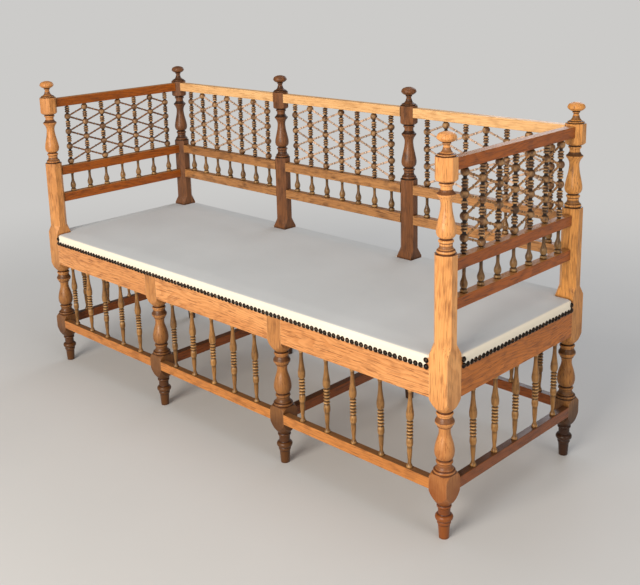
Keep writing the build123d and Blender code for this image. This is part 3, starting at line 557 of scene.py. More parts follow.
# ---- rows of turned members
@dataclass(frozen=True)
class Outline:
    """Half section of a turned piece: radius and height of each point, in millimetres, from the bottom."""

    points: tuple[tuple[float, float], ...]

    @staticmethod
    def cut(strokes: Strokes, height: float, steps: int = 5) -> "Outline":
        """Follow the turner's strokes.

        Args:
            strokes: lines and arcs from the bottom up.
            height: height of the piece in millimetres.
            steps: points on an arc.

        Returns:
            The outline.
        """
        least = 0.05              # rise of a flat shoulder, so that no two points share a level
        points = [(strokes[0][0], strokes[0][1] * height)]
        for radius, share, *swell in strokes[1:]:
            here = Vector(points[-1])
            there = Vector((radius, share * height))
            if swell:
                chord = there - here
                out = Vector((chord.y, -chord.x)).normalized()
                points += [tuple(here + chord * t + out * swell[0] * 4 * t * (1 - t))
                           for t in (i / steps for i in range(1, steps))]
            elif abs(there.y - here.y) < least:
                there.y = here.y + least
            points.append(tuple(there))
        return Outline(tuple(points))

    def marks(self, reach: float = 6.0, full: float = 1.6) -> tuple[tuple[float, ...], tuple[float, ...]]:
        """How much each point is lightened and how much darkened, from how it stands to its neighbours: wear
        with painted highlight on the swells, grime with painted shade in the grooves.

        Args:
            reach: neighbours counted above and below, in millimetres.
            full: how far a point stands proud or deep to be wholly marked.

        Returns:
            Lightened share of every point, as wear and painted highlight, and darkened share of every point,
            as grime and painted shade.
        """
        found = []
        for radius, z in self.points:
            near = [r for r, other in self.points if abs(other - z) < reach]
            proud = (radius - sum(near) / len(near)) / full
            found.append((max(0.0, min(1.0, proud)), max(0.0, min(1.0, -proud))))
        return tuple(zip(*found))


class Lathe(Bench):
    """Geometry tree, shared by every row, that turns an outline and sets it along lines."""

    NAME = "lathe_row"
    INPUTS = {"Pitch": "Float", "Segments": "Int", "Lean": "Float", "Spread": "Float", "Jitter": "Float",
              "Seed": "Int", "Finish": "Material"}
    CRISP = math.radians(42)             # edges sharper than this stay crisp

    def __init__(self) -> None:
        """Build the whole tree."""
        super().__init__(bpy.data.node_groups.new(self.NAME, "GeometryNodeTree"))
        sockets = self.tree.interface
        for name, kind in {"Geometry": "Geometry", **self.INPUTS}.items():
            sockets.new_socket(name, in_out="INPUT", socket_type=f"NodeSocket{kind}")
        sockets.new_socket("Geometry", in_out="OUTPUT", socket_type="NodeSocketGeometry")
        self.given = self.add("GroupInput").outputs
        self.seeds = [self.add("Math", {0: self.given["Seed"], 1: float(i)}, operation="ADD")
                      for i in range(4)]
        flag = self.add("InputNamedAttribute", {"Name": "on_outline"}, data_type="FLOAT")
        is_outline = self.add("Compare", {"A": flag, "B": 0.5}, operation="GREATER_THAN")
        parted = self.add("SeparateGeometry",
                          {"Geometry": self.given["Geometry"], "Selection": is_outline}).outputs
        member = self.turned(parted["Selection"])
        self.way = self.add("InputNamedAttribute", {"Name": "way"}, data_type="FLOAT_VECTOR")
        thin = self.add("Math", {0: 1.0, 1: self.given["Spread"]}, operation="SUBTRACT")
        size = self.add("RandomValue", {"Min": thin, "Max": 1.0, "Seed": self.seeds[2]})
        scale = self.add("CombineXYZ", {"X": size, "Y": size, "Z": 1.0})
        members = self.add("InstanceOnPoints",
                           {"Points": self.set_out(parted["Inverted"]), "Instance": member,
                            "Rotation": self.hand_set(), "Scale": scale})
        tone = self.add("RandomValue", {"Min": 0.0, "Max": 1.0, "Seed": self.seeds[3]})
        toned = self.add("StoreNamedAttribute", {"Geometry": members, "Name": "tone", "Value": tone},
                         data_type="FLOAT", domain="INSTANCE")
        real = self.add("RealizeInstances", {"Geometry": toned})
        dressed = self.add("SetMaterial", {"Geometry": real, "Material": self.given["Finish"]})
        self.add("GroupOutput", {"Geometry": dressed})

    def turned(self, outline: NodeSocket) -> Node:
        """Sweep a circle up the outline's axis, as wide as its girth, with crisp shoulders.

        Args:
            outline: the outline's points and edges.

        Returns:
            One member, centred on its own middle.
        """
        axis = self.add("MeshToCurve", {"Mesh": outline})
        circle = self.add("CurvePrimitiveCircle", {"Resolution": self.given["Segments"], "Radius": 1.0})
        girth = self.add("InputNamedAttribute", {"Name": "girth"}, data_type="FLOAT")
        body = self.add("CurveToMesh",
                        {"Curve": axis, "Profile Curve": circle, "Scale": girth, "Fill Caps": True})
        angle = self.add("InputMeshEdgeAngle")
        crisp = self.add("Compare", {"A": angle, "B": self.CRISP}, operation="GREATER_THAN")
        return self.add("SetShadeSmooth", {"Geometry": body, "Selection": crisp, "Shade Smooth": False},
                        domain="EDGE")

    def either_way(self, most: Node, seed: Node) -> Node:
        """A random vector for each member, up to this much either way."""
        least = self.add("VectorMath", {0: most, "Scale": -1.0}, operation="SCALE")
        return self.add("RandomValue", {"Min": least, "Max": most, "Seed": seed}, data_type="FLOAT_VECTOR")

    def set_out(self, lines: NodeSocket) -> Node:
        """Step along each line near the pitch, and shake each place sideways a little.

        Args:
            lines: lines and loose points.

        Returns:
            The points that members stand on.
        """
        line = self.add("MeshToCurve", {"Mesh": lines})
        length = self.add("SplineLength")
        steps = self.add("Math", {0: length, 1: self.given["Pitch"]}, operation="DIVIDE")
        whole = self.add("Math", {0: steps}, operation="ROUND")
        count = self.add("Math", {0: whole, 1: 1.0}, operation="ADD")
        stepped = self.add("ResampleCurve", {"Curve": line, "Count": count})
        on_lines = self.add("CurveToPoints", {"Curve": stepped}, mode="EVALUATED")
        around = self.add("InputMeshVertexNeighbors")
        alone = self.add("Compare", {"A": around, "B": 0}, data_type="INT", operation="EQUAL")
        loose = self.add("MeshToPoints", {"Mesh": lines, "Selection": alone})
        every = self.add("JoinGeometry", {"Geometry": on_lines})
        self.fill(every, {"Geometry": loose})
        most = self.add("VectorMath", {0: (1.0, 1.0, 1.0), "Scale": self.given["Jitter"]}, operation="SCALE")
        shake = self.either_way(most, self.seeds[0])
        endwise = self.add("VectorMath", {0: shake, 1: self.way}, operation="PROJECT")
        sideways = self.add("VectorMath", {0: shake, 1: endwise}, operation="SUBTRACT")
        return self.add("SetPosition", {"Geometry": every, "Offset": sideways})

    def hand_set(self) -> Node:
        """Stand each member along its way, leaning and spun as a hand leaves it.

        Returns:
            The rotation of each member.
        """
        upright = self.add("AlignRotationToVector", {"Vector": self.way}, axis="Z")
        most = self.add("CombineXYZ", {"X": self.given["Lean"], "Y": self.given["Lean"], "Z": math.pi})
        lean = self.either_way(most, self.seeds[1])
        return self.add("RotateRotation", {"Rotation": upright, "Rotate By": lean}, rotation_space="LOCAL")


@dataclass
class TurnedRow:
    """Equal turned members set by hand at even steps along lines, or one at each loose point."""

    name: str
    outline: Outline
    runs: list[Run]
    finish: Material
    pitch: float = 1.0
    segments: int = 14
    lean: float = math.radians(0.5)
    spread: float = 0.04
    jitter: float = 0.3 * MM
    seed: int = 1

    def build(self) -> Object:
        """Run the tree over the lines, and keep its result as a plain mesh.

        Returns:
            The finished row.
        """
        row = finished(self._layout(), self.name)
        lathe = row.modifiers.new("lathe", "NODES")
        lathe.node_group = bpy.data.node_groups.get(Lathe.NAME) or Lathe().tree
        for item in lathe.node_group.interface.items_tree:
            if item.name in Lathe.INPUTS:
                lathe[item.identifier] = getattr(self, item.name.lower())
        mesh = evaluated(row)
        bpy.data.objects.remove(row)
        mesh.name = self.name
        return finished(mesh, self.name)

    def _layout(self) -> Mesh:
        """Outline and lines in one mesh: the tree tells them apart by an attribute.

        Returns:
            The mesh that the tree reads.
        """
        levels = [z for _, z in self.outline.points]
        middle = (levels[0] + levels[-1]) / 2
        points = [Vector((0, 0, (z - middle) * MM)) for z in levels]
        edges = [(i, i + 1) for i in range(len(points) - 1)]
        ways = [UP] * len(points)
        for start, end, way in self.runs:
            ends = [start] if (end - start).length < 1e-6 else [start, end]
            if len(ends) == 2:
                edges.append((len(points), len(points) + 1))
            points += ends
            ways += [way] * len(ends)
        mesh = bpy.data.meshes.new("layout")
        mesh.from_pydata(points, edges, [])
        rubbed, soiled_and_shaded = self.outline.marks()
        spare = [0.0] * (len(points) - len(levels))
        for name, values in (("girth", [r * MM for r, _ in self.outline.points]), ("rubbed", rubbed),
                             ("soiled_and_shaded", soiled_and_shaded), ("on_outline", [1.0] * len(levels))):
            mesh.attributes.new(name, "FLOAT", "POINT").data.foreach_set("value", [*values, *spare])
        way = mesh.attributes.new("way", "FLOAT_VECTOR", "POINT")
        way.data.foreach_set("vector", [c for w in ways for c in w])
        return mesh


@dataclass
class Lattice:
    """Ball-and-peg lattice: uprights end for end in turn, tied by a peg from ball to ball."""

    plan: Plan
    # Turned hardwood, never waxed again: black in the grooves, as grime and painted shade, and tan on the
    # balls and discs, as wear from hands and painted highlight.
    wood: WoodFinish = WoodFinish("aged_lattice_wood", "765234", "48311D", "26180D", "150E08", "D6A66E",
                                  turned=True, ring_share=0.4, grime_and_shade_reach=5 * MM, roughness=0.34)
    # Thin pegs of a paler wood: dry at the back; on the arms tan on the right as painted light, and browner
    # on the left, which faces away from the light, as painted shade.
    pegs: dict[str, WoodFinish] = field(default_factory=lambda: {
        side: WoodFinish(*looks, turned=True) for side, looks in {
            "back": ("pale_peg_wood", "DCBBA0", "B08E74", "6E5040", "3A2A20", "F4DCC4"),
            "arm_left": ("brown_peg_wood", "946440", "643F26", "3A2314", "20130B", "D8A274"),
            "arm_right": ("tan_peg_wood", "D09860", "94663A", "54341A", "2A1A0E", "F4C890")}.items()})
    slot: str = "aged_lattice_wood"
    members: int = 7
    balls: int = 4
    ball_radius: float = 10.6
    ball_end: float = 11.4           # end ball centre from the rail
    neck: float = 4.6
    discs: int = 3
    disc_radius: float = 8.2
    disc_core: float = 5.9
    disc_thickness: float = 4.9
    disc_gap: float = 2.2
    cuff: float = 7.4
    shoulder: float = 0.05           # height of a flat shoulder
    peg_end: float = 2.2
    peg_swell: float = 1.1
    peg_bead: float = 4.3
    peg_bead_half: float = 3.2
    peg_sunk: float = 0.8            # how deep a peg's end lies in a ball

    def build(self) -> None:
        """Make the uprights and pegs of the back and both arms."""
        wood = Timber(self.wood, Grain.UPRIGHT).paint()
        for ten, (side, peg_wood) in enumerate(self.pegs.items()):
            row = TurnedRow(f"lattice_turnings_{side}", self._upright(), self._upright_runs(side), wood,
                            pitch=2 * self._pitch(side), seed=11 + 10 * ten)
            declare(row.build(), f"lattice_uprights_{side}")
            peg_finish = Timber(peg_wood, Grain.UPRIGHT).paint()
            endings = ("_left", "_middle", "_right") if side == "back" else ("",)
            for bay, (ending, runs) in enumerate(zip(endings, self._peg_runs(side))):
                row = TurnedRow(f"lattice_pins_{side}{ending}", self._peg(side), runs, peg_finish, segments=7,
                                lean=math.radians(1.0), spread=0.12, seed=61 + 10 * ten + bay)
                declare(row.build(), f"lattice_pegs_{side}{ending}")

    def _height(self) -> float:
        """Clear height of the lattice in millimetres."""
        return (self.plan.top_rail_bottom - self.plan.middle_rail_top) / MM

    def _ball_pitch(self) -> float:
        """Ball to ball up an upright, in millimetres."""
        return (self._height() - 2 * self.ball_end) / (self.balls - 0.5)

    def _pitch(self, side: str) -> float:
        """Upright to upright, in metres."""
        low, high = self.plan.runs(side)[0]
        return (high - low).length / (self.members + 1)

    def _upright(self) -> Outline:
        """Balls at a steady pitch with discs between, a ball first.

        Returns:
            The outline of one upright.
        """
        cut = math.sqrt(self.ball_radius ** 2 - self.neck ** 2)
        stack = self.discs * (self.disc_thickness + self.disc_gap) - self.disc_gap
        swell = self.disc_radius - self.disc_core
        angle = math.asin(cut / self.ball_radius)
        points = [(self.cuff, 0.0), (self.cuff, self.ball_end - cut - self.shoulder)]
        for i in range(self.balls):
            centre = self.ball_end + i * self._ball_pitch()
            points += [(self.ball_radius * math.cos(a), centre + self.ball_radius * math.sin(a))
                       for a in (angle * (k / 4 - 1) for k in range(9))]
            space = min(self._ball_pitch(), self._height() - centre + cut) - 2 * cut
            start = centre + cut + (space - stack) / 2
            points.append((self.neck, start - self.shoulder))
            for k in range(self.discs):
                low = start + k * (self.disc_thickness + self.disc_gap)
                half = self.disc_thickness / 2
                points += [(self.disc_core + swell * math.sin(a), low + half - half * math.cos(a))
                           for a in (math.pi * n / 4 for n in range(5))]
            points.append((self.neck, start + stack + self.shoulder))
        points.append((self.neck, self._height()))
        return Outline(tuple(points))

    def _upright_runs(self, side: str) -> list[Run]:
        """Lines of the uprights that stand ball end down, and of those ball end up.

        Args:
            side: back, arm_left or arm_right.

        Returns:
            Two runs for each bay.
        """
        level = UP * ((self.plan.middle_rail_top + self.plan.top_rail_bottom) / 2)
        up = -UP if side == "arm_right" else UP
        runs = []
        for low, high in self.plan.runs(side):
            step = (high - low) / (self.members + 1)
            for first, way in ((1, up), (2, -up)):
                last = self.members - (self.members - first) % 2
                runs.append((low + step * first + level, low + step * last + level, way))
        return runs

    def _peg_runs(self, side: str) -> list[list[Run]]:
        """Middle and direction of every peg, bay by bay.

        Args:
            side: back, arm_left or arm_right.

        Returns:
            Loose points for each bay.
        """
        low_levels = [self.ball_end + i * self._ball_pitch() for i in range(self.balls)]
        high_levels = [self._height() - z for z in low_levels]
        bays = []
        for low, high in self.plan.runs(side):
            step = (high - low) / (self.members + 1)
            runs = []
            for i in range(self.members - 1):
                low_first = (side != "arm_right") == (i % 2 == 0)
                first, second = (low_levels, high_levels) if low_first else (high_levels, low_levels)
                for a, b in ((a, b) for a in first for b in second if abs(a - b) < self._ball_pitch() * 0.75):
                    here = low + step * (i + 1) + UP * (self.plan.middle_rail_top + a * MM)
                    there = low + step * (i + 2) + UP * (self.plan.middle_rail_top + b * MM)
                    middle = (here + there) / 2
                    runs.append((middle, middle, (there - here).normalized()))
            bays.append(runs)
        return bays

    def _peg(self, side: str) -> Outline:
        """Slim swelling shanks either side of a bead, from one ball's skin to the next.

        Args:
            side: back, arm_left or arm_right.

        Returns:
            The outline of one peg.
        """
        apart = math.hypot(self._pitch(side) / MM, self._ball_pitch() / 2)
        length = apart - 2 * (self.ball_radius - self.peg_sunk)
        bead = self.peg_bead_half / length
        return Outline.cut(((self.peg_end, 0.0), (self.peg_end, 0.5 - bead, self.peg_swell),
                            (self.peg_end, 0.5 + bead, self.peg_bead - self.peg_end),
                            (self.peg_end, 1.0, self.peg_swell)), length, steps=3)


@dataclass
class StandingRows:
    """Equal members that stand between two rails, one row on each side."""

    plan: Plan
    wood: WoodFinish
    slot: str
    piece: str                       # name of a row, before its side
    replaced: str                    # name of its CAD node, before its side
    sides: tuple[str, ...]
    members: int
    seed: int
    segments: int = 14
    out: float = 0.0                 # member centres outside the leg centres

    def levels(self) -> tuple[float, float]:
        """Top of the rail below and bottom of the rail above."""
        raise NotImplementedError

    def strokes(self) -> Strokes:
        """The turner's strokes from the lower rail up."""
        raise NotImplementedError

    def build(self) -> None:
        """Make every row: the outline once, then its places side by side."""
        wood = Timber(self.wood, Grain.UPRIGHT).paint()
        bottom, top = self.levels()
        level = UP * (bottom + (top - bottom) / 2)
        outline = Outline.cut(self.strokes(), (top - bottom) / MM)
        for ten, side in enumerate(self.sides):
            runs = []
            for low, high in self.plan.runs(side, self.out):
                step = (high - low) / (self.members + 1)
                runs.append((low + step + level, high - step + level, UP))
            row = TurnedRow(f"{self.piece}_{side}", outline, runs, wood, pitch=step.length,
                            segments=self.segments, seed=self.seed + 10 * ten)
            declare(row.build(), f"{self.replaced}_{side}")


@dataclass
class Balusters(StandingRows):
    """Short balusters between the bottom and middle rails of the back and arms."""

    # Turned hardwood with an olive cast: a soft shine, and paler bulbs, as wear where cushions rub them and
    # painted highlight.
    wood: WoodFinish = WoodFinish("olive_baluster_wood", "8C663A", "563A1C", "2E1E10", "1A110A", "E4B878",
                                  turned=True, wear_share=0.5, roughness=0.32)
    slot: str = "aged_lattice_wood"
    piece: str = "baluster_turnings"
    replaced: str = "balusters"
    sides: tuple[str, ...] = ("back", "arm_left", "arm_right")
    members: int = 7
    seed: int = 91

    def levels(self) -> tuple[float, float]:
        """Top of the bottom rail and bottom of the middle rail."""
        return self.plan.bottom_rail_top, self.plan.middle_rail_bottom

    def strokes(self) -> Strokes:
        """A foot, a bulb that tapers to a neck, and a cap."""
        return ((8.2, 0.0), (8.2, 0.13, 0.8), (6.4, 0.145), (6.4, 0.165), (7.6, 0.44, 2.2), (4.2, 0.74, -1.2),
                (4.2, 0.90), (5.8, 0.945, -0.3), (6.4, 0.955), (6.4, 1.0))


@dataclass
class UnderSeatSpindles(StandingRows):
    """Spindles between the seat rails and the stretchers."""

    # Turned hardwood: tan on the swells, as wear and painted highlight, nearly black between the rings, as
    # grime and painted shade.
    wood: WoodFinish = WoodFinish("tan_spindle_wood", "A4763F", "694624", "3A2412", "1E1209", "E2B478",
                                  turned=True, wear_share=0.5, roughness=0.34)
    slot: str = "olive_spindle_wood"
    piece: str = "spindle_turnings"
    replaced: str = "seat_spindles"
    sides: tuple[str, ...] = ("front", "back", "left", "right")
    members: int = 5
    seed: int = 131
    segments: int = 18
    out: float = 15.0 * MM
    rings: int = 5
    ring_radius: float = 8.5
    core: float = 6.2
    ring_gap: float = 0.3            # share of the rings' pitch
    stack: tuple[float, float] = (0.392, 0.592)

    def levels(self) -> tuple[float, float]:
        """Top of the stretchers and bottom of the seat rails."""
        return self.plan.stretcher_top, self.plan.seat_rail_bottom

    def strokes(self) -> Strokes:
        """Two bulbs with a stack of rings between.

        Returns:
            Strokes from the stretcher up.
        """
        low, high = self.stack
        pitch = (high - low) / (self.rings - self.ring_gap)
        rings = []
        for start in (low + i * pitch for i in range(self.rings)):
            rings += [(self.core, start),
                      (self.core, start + (1 - self.ring_gap) * pitch, self.ring_radius - self.core)]
        return ((7.5, 0.0), (7.3, 0.024, 0.4), (4.4, 0.088, -1.0), (6.6, 0.272, 0.5), (7.7, 0.282),
                (7.7, 0.372, 0.8), (6.2, 0.382), *rings, (6.2, 0.604), (8.3, 0.614), (8.7, 0.722, 1.2),
                (4.8, 0.900, -0.6), (4.8, 0.950), (6.2, 0.968, -0.2), (6.2, 1.0))


# ---- upholstery
@dataclass(frozen=True)
class CanvasFinish:
    """Tightly woven cotton canvas: dull and even, cream where it turns down, and grey on top as painted
    shade.
    """

    name: str = "cream_cotton_canvas"
    side: str = "F4EAD6"
    # grey of the upward faces: painted shade, the top taking less light than the sides
    top: str = "C1C5C7"
    thread: float = 1.6 * MM     # real threads are 0.6 mm, drawn coarser so that they show
    soiling: float = 285.71 * MM

    def build(self) -> Material:
        """Make the material.

        Returns:
            Canvas with a plain weave.
        """
        made = Surface(self.name)
        axes = made.add("SeparateXYZ", {"Vector": made.place}).outputs
        facing = made.add("SeparateXYZ", {"Vector": made.normal}).outputs["Z"]
        # Painted shade: upward faces blend from the cream side colour to the grey top colour.
        flat = made.add("ValToRGB", {"Fac": facing}, ((0.72, 0.0), (0.985, 1.0)))
        cloud = made.add("TexNoise", {"Vector": made.place, "Scale": 1 / self.soiling, "Detail": 4.0})
        soil = made.add("MapRange",
                        {"Value": cloud, "From Min": 0.3, "From Max": 0.7, "To Min": 0.94, "To Max": 1.04})
        colour = made.add("Mix", {"Factor": flat, "A": linear(self.side), "B": linear(self.top)},
                          data_type="RGBA")
        turns = [made.add("Math", {0: axes[axis], 1: math.pi / self.thread}, operation="MULTIPLY")
                 for axis in "XY"]
        weft, warp = (made.add("Math", {0: turn}, operation="SINE") for turn in turns)
        weave = made.add("Math", {0: weft, 1: warp}, operation="MULTIPLY")
        shade = made.add("MapRange",
                         {"Value": weave, "From Min": -1.0, "From Max": 1.0, "To Min": 0.97, "To Max": 1.02})
        both = made.add("Math", {0: soil, 1: shade}, operation="MULTIPLY")
        return made.settle({
            "Base Color": made.add("HueSaturation", {"Color": colour, "Value": both}),
            "Normal": made.add("Bump", {"Height": weave, "Strength": 0.12, "Distance": 0.3 * MM}),
            "Roughness": 0.82, "Sheen Weight": 0.12, "Sheen Roughness": 0.5})


@dataclass(frozen=True)
class FeltFinish:
    """Cotton felt stuffing: matted and dull, seen only from below between the slats."""

    name: str = "cotton_felt"
    pale: str = "CFC4AA"
    shade: str = "A3947A"
    clump: float = 4.1667 * MM

    def build(self) -> Material:
        """Make the material.

        Returns:
            Matted fibres in clumps.
        """
        made = Surface(self.name)
        mat = made.add("TexNoise", {"Vector": made.place, "Scale": 1 / self.clump, "Detail": 4.0})
        return made.settle({
            "Base Color": made.add("Mix", {"Factor": mat, "A": linear(self.pale), "B": linear(self.shade)},
                                   data_type="RGBA"),
            "Normal": made.add("Bump", {"Height": mat, "Strength": 0.5, "Distance": 1.0 * MM}),
            "Roughness": 0.95})


@dataclass(frozen=True)
class BronzeFinish:
    """Pressed brass nail heads, chemically darkened: near black, rubbed brown on the crowns."""

    name: str = "antiqued_brass"
    dark: str = "1C1510"
    rubbed: str = "5A402A"
    blotch: float = 5.2632 * MM

    def build(self) -> Material:
        """Make the material.

        Returns:
            Dark metal with worn blotches.
        """
        made = Surface(self.name)
        blotch = made.add("TexNoise", {"Vector": made.place, "Scale": 1 / self.blotch, "Detail": 2.0})
        worn = made.add("MapRange", {"Value": blotch, "From Min": 0.5, "From Max": 0.72})
        return made.settle({
            "Base Color": made.add("Mix", {"Factor": worn, "A": linear(self.dark), "B": linear(self.rubbed)},
                                   data_type="RGBA"),
            "Metallic": 0.7, "Roughness": 0.36})


@dataclass
class Upholstery:
    """Canvas cover over stuffing, held by a trim of domed nails."""

    plan: Plan
    half_x: float = 807.5 * MM
    half_y: float = 285.0 * MM
    top: float = 443.0 * MM
    hem: float = 411.2 * MM
    tuck: float = 436.2 * MM
    roll: float = 9.0 * MM
    cloth: float = 1.2 * MM
    cell: float = 10.0 * MM
    notch_x: float = 755.4 * MM
    notch_y: float = 232.9 * MM
    mid_notch: tuple[float, float] = (233.3 * MM, 287.4 * MM)
    crown: float = 2.6 * MM
    hollow: float = 0.9 * MM
    stuffing_inset: float = 27.0 * MM
    stuffing_gap: float = 2.2 * MM   # room under the canvas
    sag: float = 1.2 * MM
    nail_level: float = 415.5 * MM
    nail_pitch: float = 14.5 * MM
    nail_radius: float = 7.1
    nail_dome: float = 4.2
    nail_sunk: float = 0.3
    nail_edge: float = 7.5 * MM

    def build(self) -> None:
        """Make the cover, the stuffing and the nails, and say what they replace."""
        cover = self._cover()
        declare(cover, "seat_cover")
        stuffing = self._stuffing()
        declare(stuffing, "seat_pad")
        declare(self._nails(), "nailhead_trim")

    # ---- cover
    def _lines(self, half: float, stops: list[float]) -> list[float]:
        """Grid lines between two ends, through every stop, about a cell apart.

        Args:
            half: last line, whose mirror image is the first.
            stops: lines that must be met.

        Returns:
            All lines in order.
        """
        marks = [-half, *sorted(stops), half]
        lines = [-half]
        for start, end in zip(marks, marks[1:]):
            count = max(1, round((end - start) / self.cell))
            lines += [start + (end - start) * (i + 1) / count for i in range(count)]
        return lines

    def _cells(self, xs: list[float], ys: list[float], grow: float) -> list[list[tuple[int, int]]]:
        """Cells of a grid that no post takes, as the four corners of each.

        Args:
            xs: lines along the seat.
            ys: lines across it.
            grow: room added round each post.

        Returns:
            Corners of each cell, counter-clockwise from above.
        """
        kept = []
        for i, x in enumerate((a + b) / 2 for a, b in zip(xs, xs[1:])):
            for j, y in enumerate((a + b) / 2 for a, b in zip(ys, ys[1:])):
                across = self.notch_y - grow
                corner = abs(x) > self.notch_x - grow and abs(y) > across
                middle = self.mid_notch[0] - grow < abs(x) < self.mid_notch[1] + grow and y > across
                if not corner and not middle:
                    kept.append([(i, j), (i + 1, j), (i + 1, j + 1), (i, j + 1)])
        return kept

    def _cover(self) -> Object:
        """Canvas cover: a stretched top with a rolled edge and a nailed skirt.

        Returns:
            The finished piece.
        """
        thing = finished(self._skin(), "seat_canvas", CanvasFinish().build())
        self._stretch(thing)
        smooth = thing.modifiers.new("smooth", "SUBSURF")
        smooth.levels = smooth.render_levels = 1
        self._apply(thing)
        self._sit_on(thing.data)
        wall = thing.modifiers.new("cloth_thickness", "SOLIDIFY")
        wall.thickness = self.cloth
        wall.offset = -1.0
        self._apply(thing)
        thing.data.polygons.foreach_set("use_smooth", [True] * len(thing.data.polygons))
        return thing

    def _apply(self, thing: Object) -> None:
        """Keep what the modifiers make as the object's own mesh."""
        thing.data = evaluated(thing)
        thing.modifiers.clear()

    def _skin(self) -> Mesh:
        """Flat net of the cover with its skirt folded down.

        Returns:
            An open mesh, the canvas's outer face.
        """
        r = self.roll
        mids = [s * m for s in (-1, 1) for m in (self.mid_notch[0] - r, self.mid_notch[1] + r)]
        xs = self._lines(self.half_x - r, [-self.notch_x + r, self.notch_x - r, *mids])
        ys = self._lines(self.half_y - r, [-self.notch_y + r, self.notch_y - r])
        shape = bmesh.new()
        grid = {(i, j): shape.verts.new((x, y, self.top)) for i, x in enumerate(xs) for j, y in enumerate(ys)}
        for corners in self._cells(xs, ys, r):
            shape.faces.new([grid[c] for c in corners])
        self._fold_skirt(shape)
        return meshed(shape, "seat_canvas")

    def _fold_skirt(self, shape: bmesh.types.BMesh) -> None:
        """Carry the net's edge round the roll and down: to the hem outside, to the tuck at the posts.

        Args:
            shape: the net, changed in place.
        """
        r = self.roll
        rim = [e for e in shape.edges if e.is_boundary]
        ahead = [(e.link_loops[0].vert, e.other_vert(e.link_loops[0].vert)) for e in rim]
        outward: dict[bmesh.types.BMVert, Vector] = {}
        tucked: dict[bmesh.types.BMVert, bool] = {}
        for edge in rim:
            middle = (edge.verts[0].co + edge.verts[1].co) / 2
            way = middle - edge.link_faces[0].calc_center_median()
            longest = max(abs(way.x), abs(way.y))
            way = Vector((round(way.x / longest), round(way.y / longest), 0))
            outer = (abs(middle.x) > self.half_x - 1.5 * r and way.x != 0) or (
                abs(middle.y) > self.half_y - 1.5 * r and way.y != 0)
            for vert in edge.verts:
                known = outward.get(vert, Vector((0, 0, 0)))
                outward[vert] = Vector((known.x or way.x, known.y or way.y, 0))
                tucked[vert] = tucked.get(vert, True) and not outer
        rolled = [("round", math.sin(a), 1 - math.cos(a)) for a in (math.radians(d) for d in (30, 60, 90))]
        before = {vert: vert for vert in outward}
        for kind, out_share, drop in [*rolled, *(("down", 1.0, d / 4) for d in (1, 2, 3, 4))]:
            row = {}
            for start, way in outward.items():
                floor_z = self.tuck if tucked[start] else self.hem
                bend = min(r, (self.top - floor_z) * 0.8)
                z = self.top - (drop * bend if kind == "round" else bend + drop * (self.top - bend - floor_z))
                row[start] = shape.verts.new((start.co.x + way.x * r * out_share,
                                              start.co.y + way.y * r * out_share, z))
            for first, second in ahead:
                shape.faces.new((before[second], before[first], row[first], row[second]))
            before = row
        shape.normal_update()

    def _stretch(self, thing: Object) -> None:
        """Blow the canvas up a little over its stuffing, held by its turned-down edge.

        Args:
            thing: the open cover, whose mesh is changed.
        """
        mesh = thing.data
        held = thing.vertex_groups.new(name="held")
        held.add([v.index for v in mesh.vertices if v.co.z < self.top - 0.5 * MM], 1.0, "REPLACE")
        sim = thing.modifiers.new("stretch", "CLOTH").settings
        for name, value in {"quality": 6, "mass": 0.3, "tension_stiffness": 12, "compression_stiffness": 12,
                            "shear_stiffness": 6, "bending_stiffness": 0.6, "use_pressure": True,
                            "uniform_pressure_force": 0.35, "vertex_group_mass": "held"}.items():
            setattr(sim, name, value)
        sim.effector_weights.gravity = 0.0
        for step in range(1, 21):
            bpy.context.scene.frame_set(step)
        moved = evaluated(thing)
        for vertex, now in zip(mesh.vertices, moved.vertices):
            shift = now.co - vertex.co
            if shift.length > self.crown:
                shift = shift.normalized() * self.crown
            vertex.co += shift
        thing.modifiers.clear()
        bpy.context.scene.frame_set(1)

    def _sit_on(self, mesh: Mesh) -> None:
        """Slow hollows on the top where people have sat.

        Args:
            mesh: the cover's mesh, changed in place.
        """
        fade_in = 60 * MM
        for vertex in mesh.vertices:
            x, y, z = vertex.co
            if z > self.top - 1 * MM:
                fade = min(1.0, (self.half_x - abs(x)) / fade_in, (self.half_y - abs(y)) / fade_in)
                vertex.co.z += self.hollow * fade * noise.noise(Vector((x * 7, y * 9, 0.3)))

    # ---- stuffing
    def _stuffing(self) -> Object:
        """Stuffing under the canvas, sagging a little between the slats.

        Returns:
            The finished piece.
        """
        slat_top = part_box("seat_pad")[0].z
        xs = self._lines(self.half_x - self.stuffing_inset, [])
        ys = self._lines(self.half_y - self.stuffing_inset, [])
        shape = bmesh.new()
        top, bottom = {}, {}
        for i, x in enumerate(xs):
            for j, y in enumerate(ys):
                sag = self.sag * (0.5 + 0.5 * noise.noise(Vector((x * 30, y * 6, 1.7))))
                top[i, j] = shape.verts.new((x, y, self.top - self.stuffing_gap))
                bottom[i, j] = shape.verts.new((x, y, slat_top + sag))
        cells = self._cells(xs, ys, 6 * MM)
        sides = {(a, b) for corners in cells for a, b in zip(corners, corners[1:] + corners[:1])}
        for corners in cells:
            shape.faces.new([top[c] for c in corners])
            shape.faces.new([bottom[c] for c in reversed(corners)])
            for a, b in zip(corners, corners[1:] + corners[:1]):
                if (b, a) not in sides:
                    shape.faces.new((top[b], top[a], bottom[a], bottom[b]))
        return finished(meshed(shape, "seat_stuffing"), "seat_stuffing", FeltFinish().build())

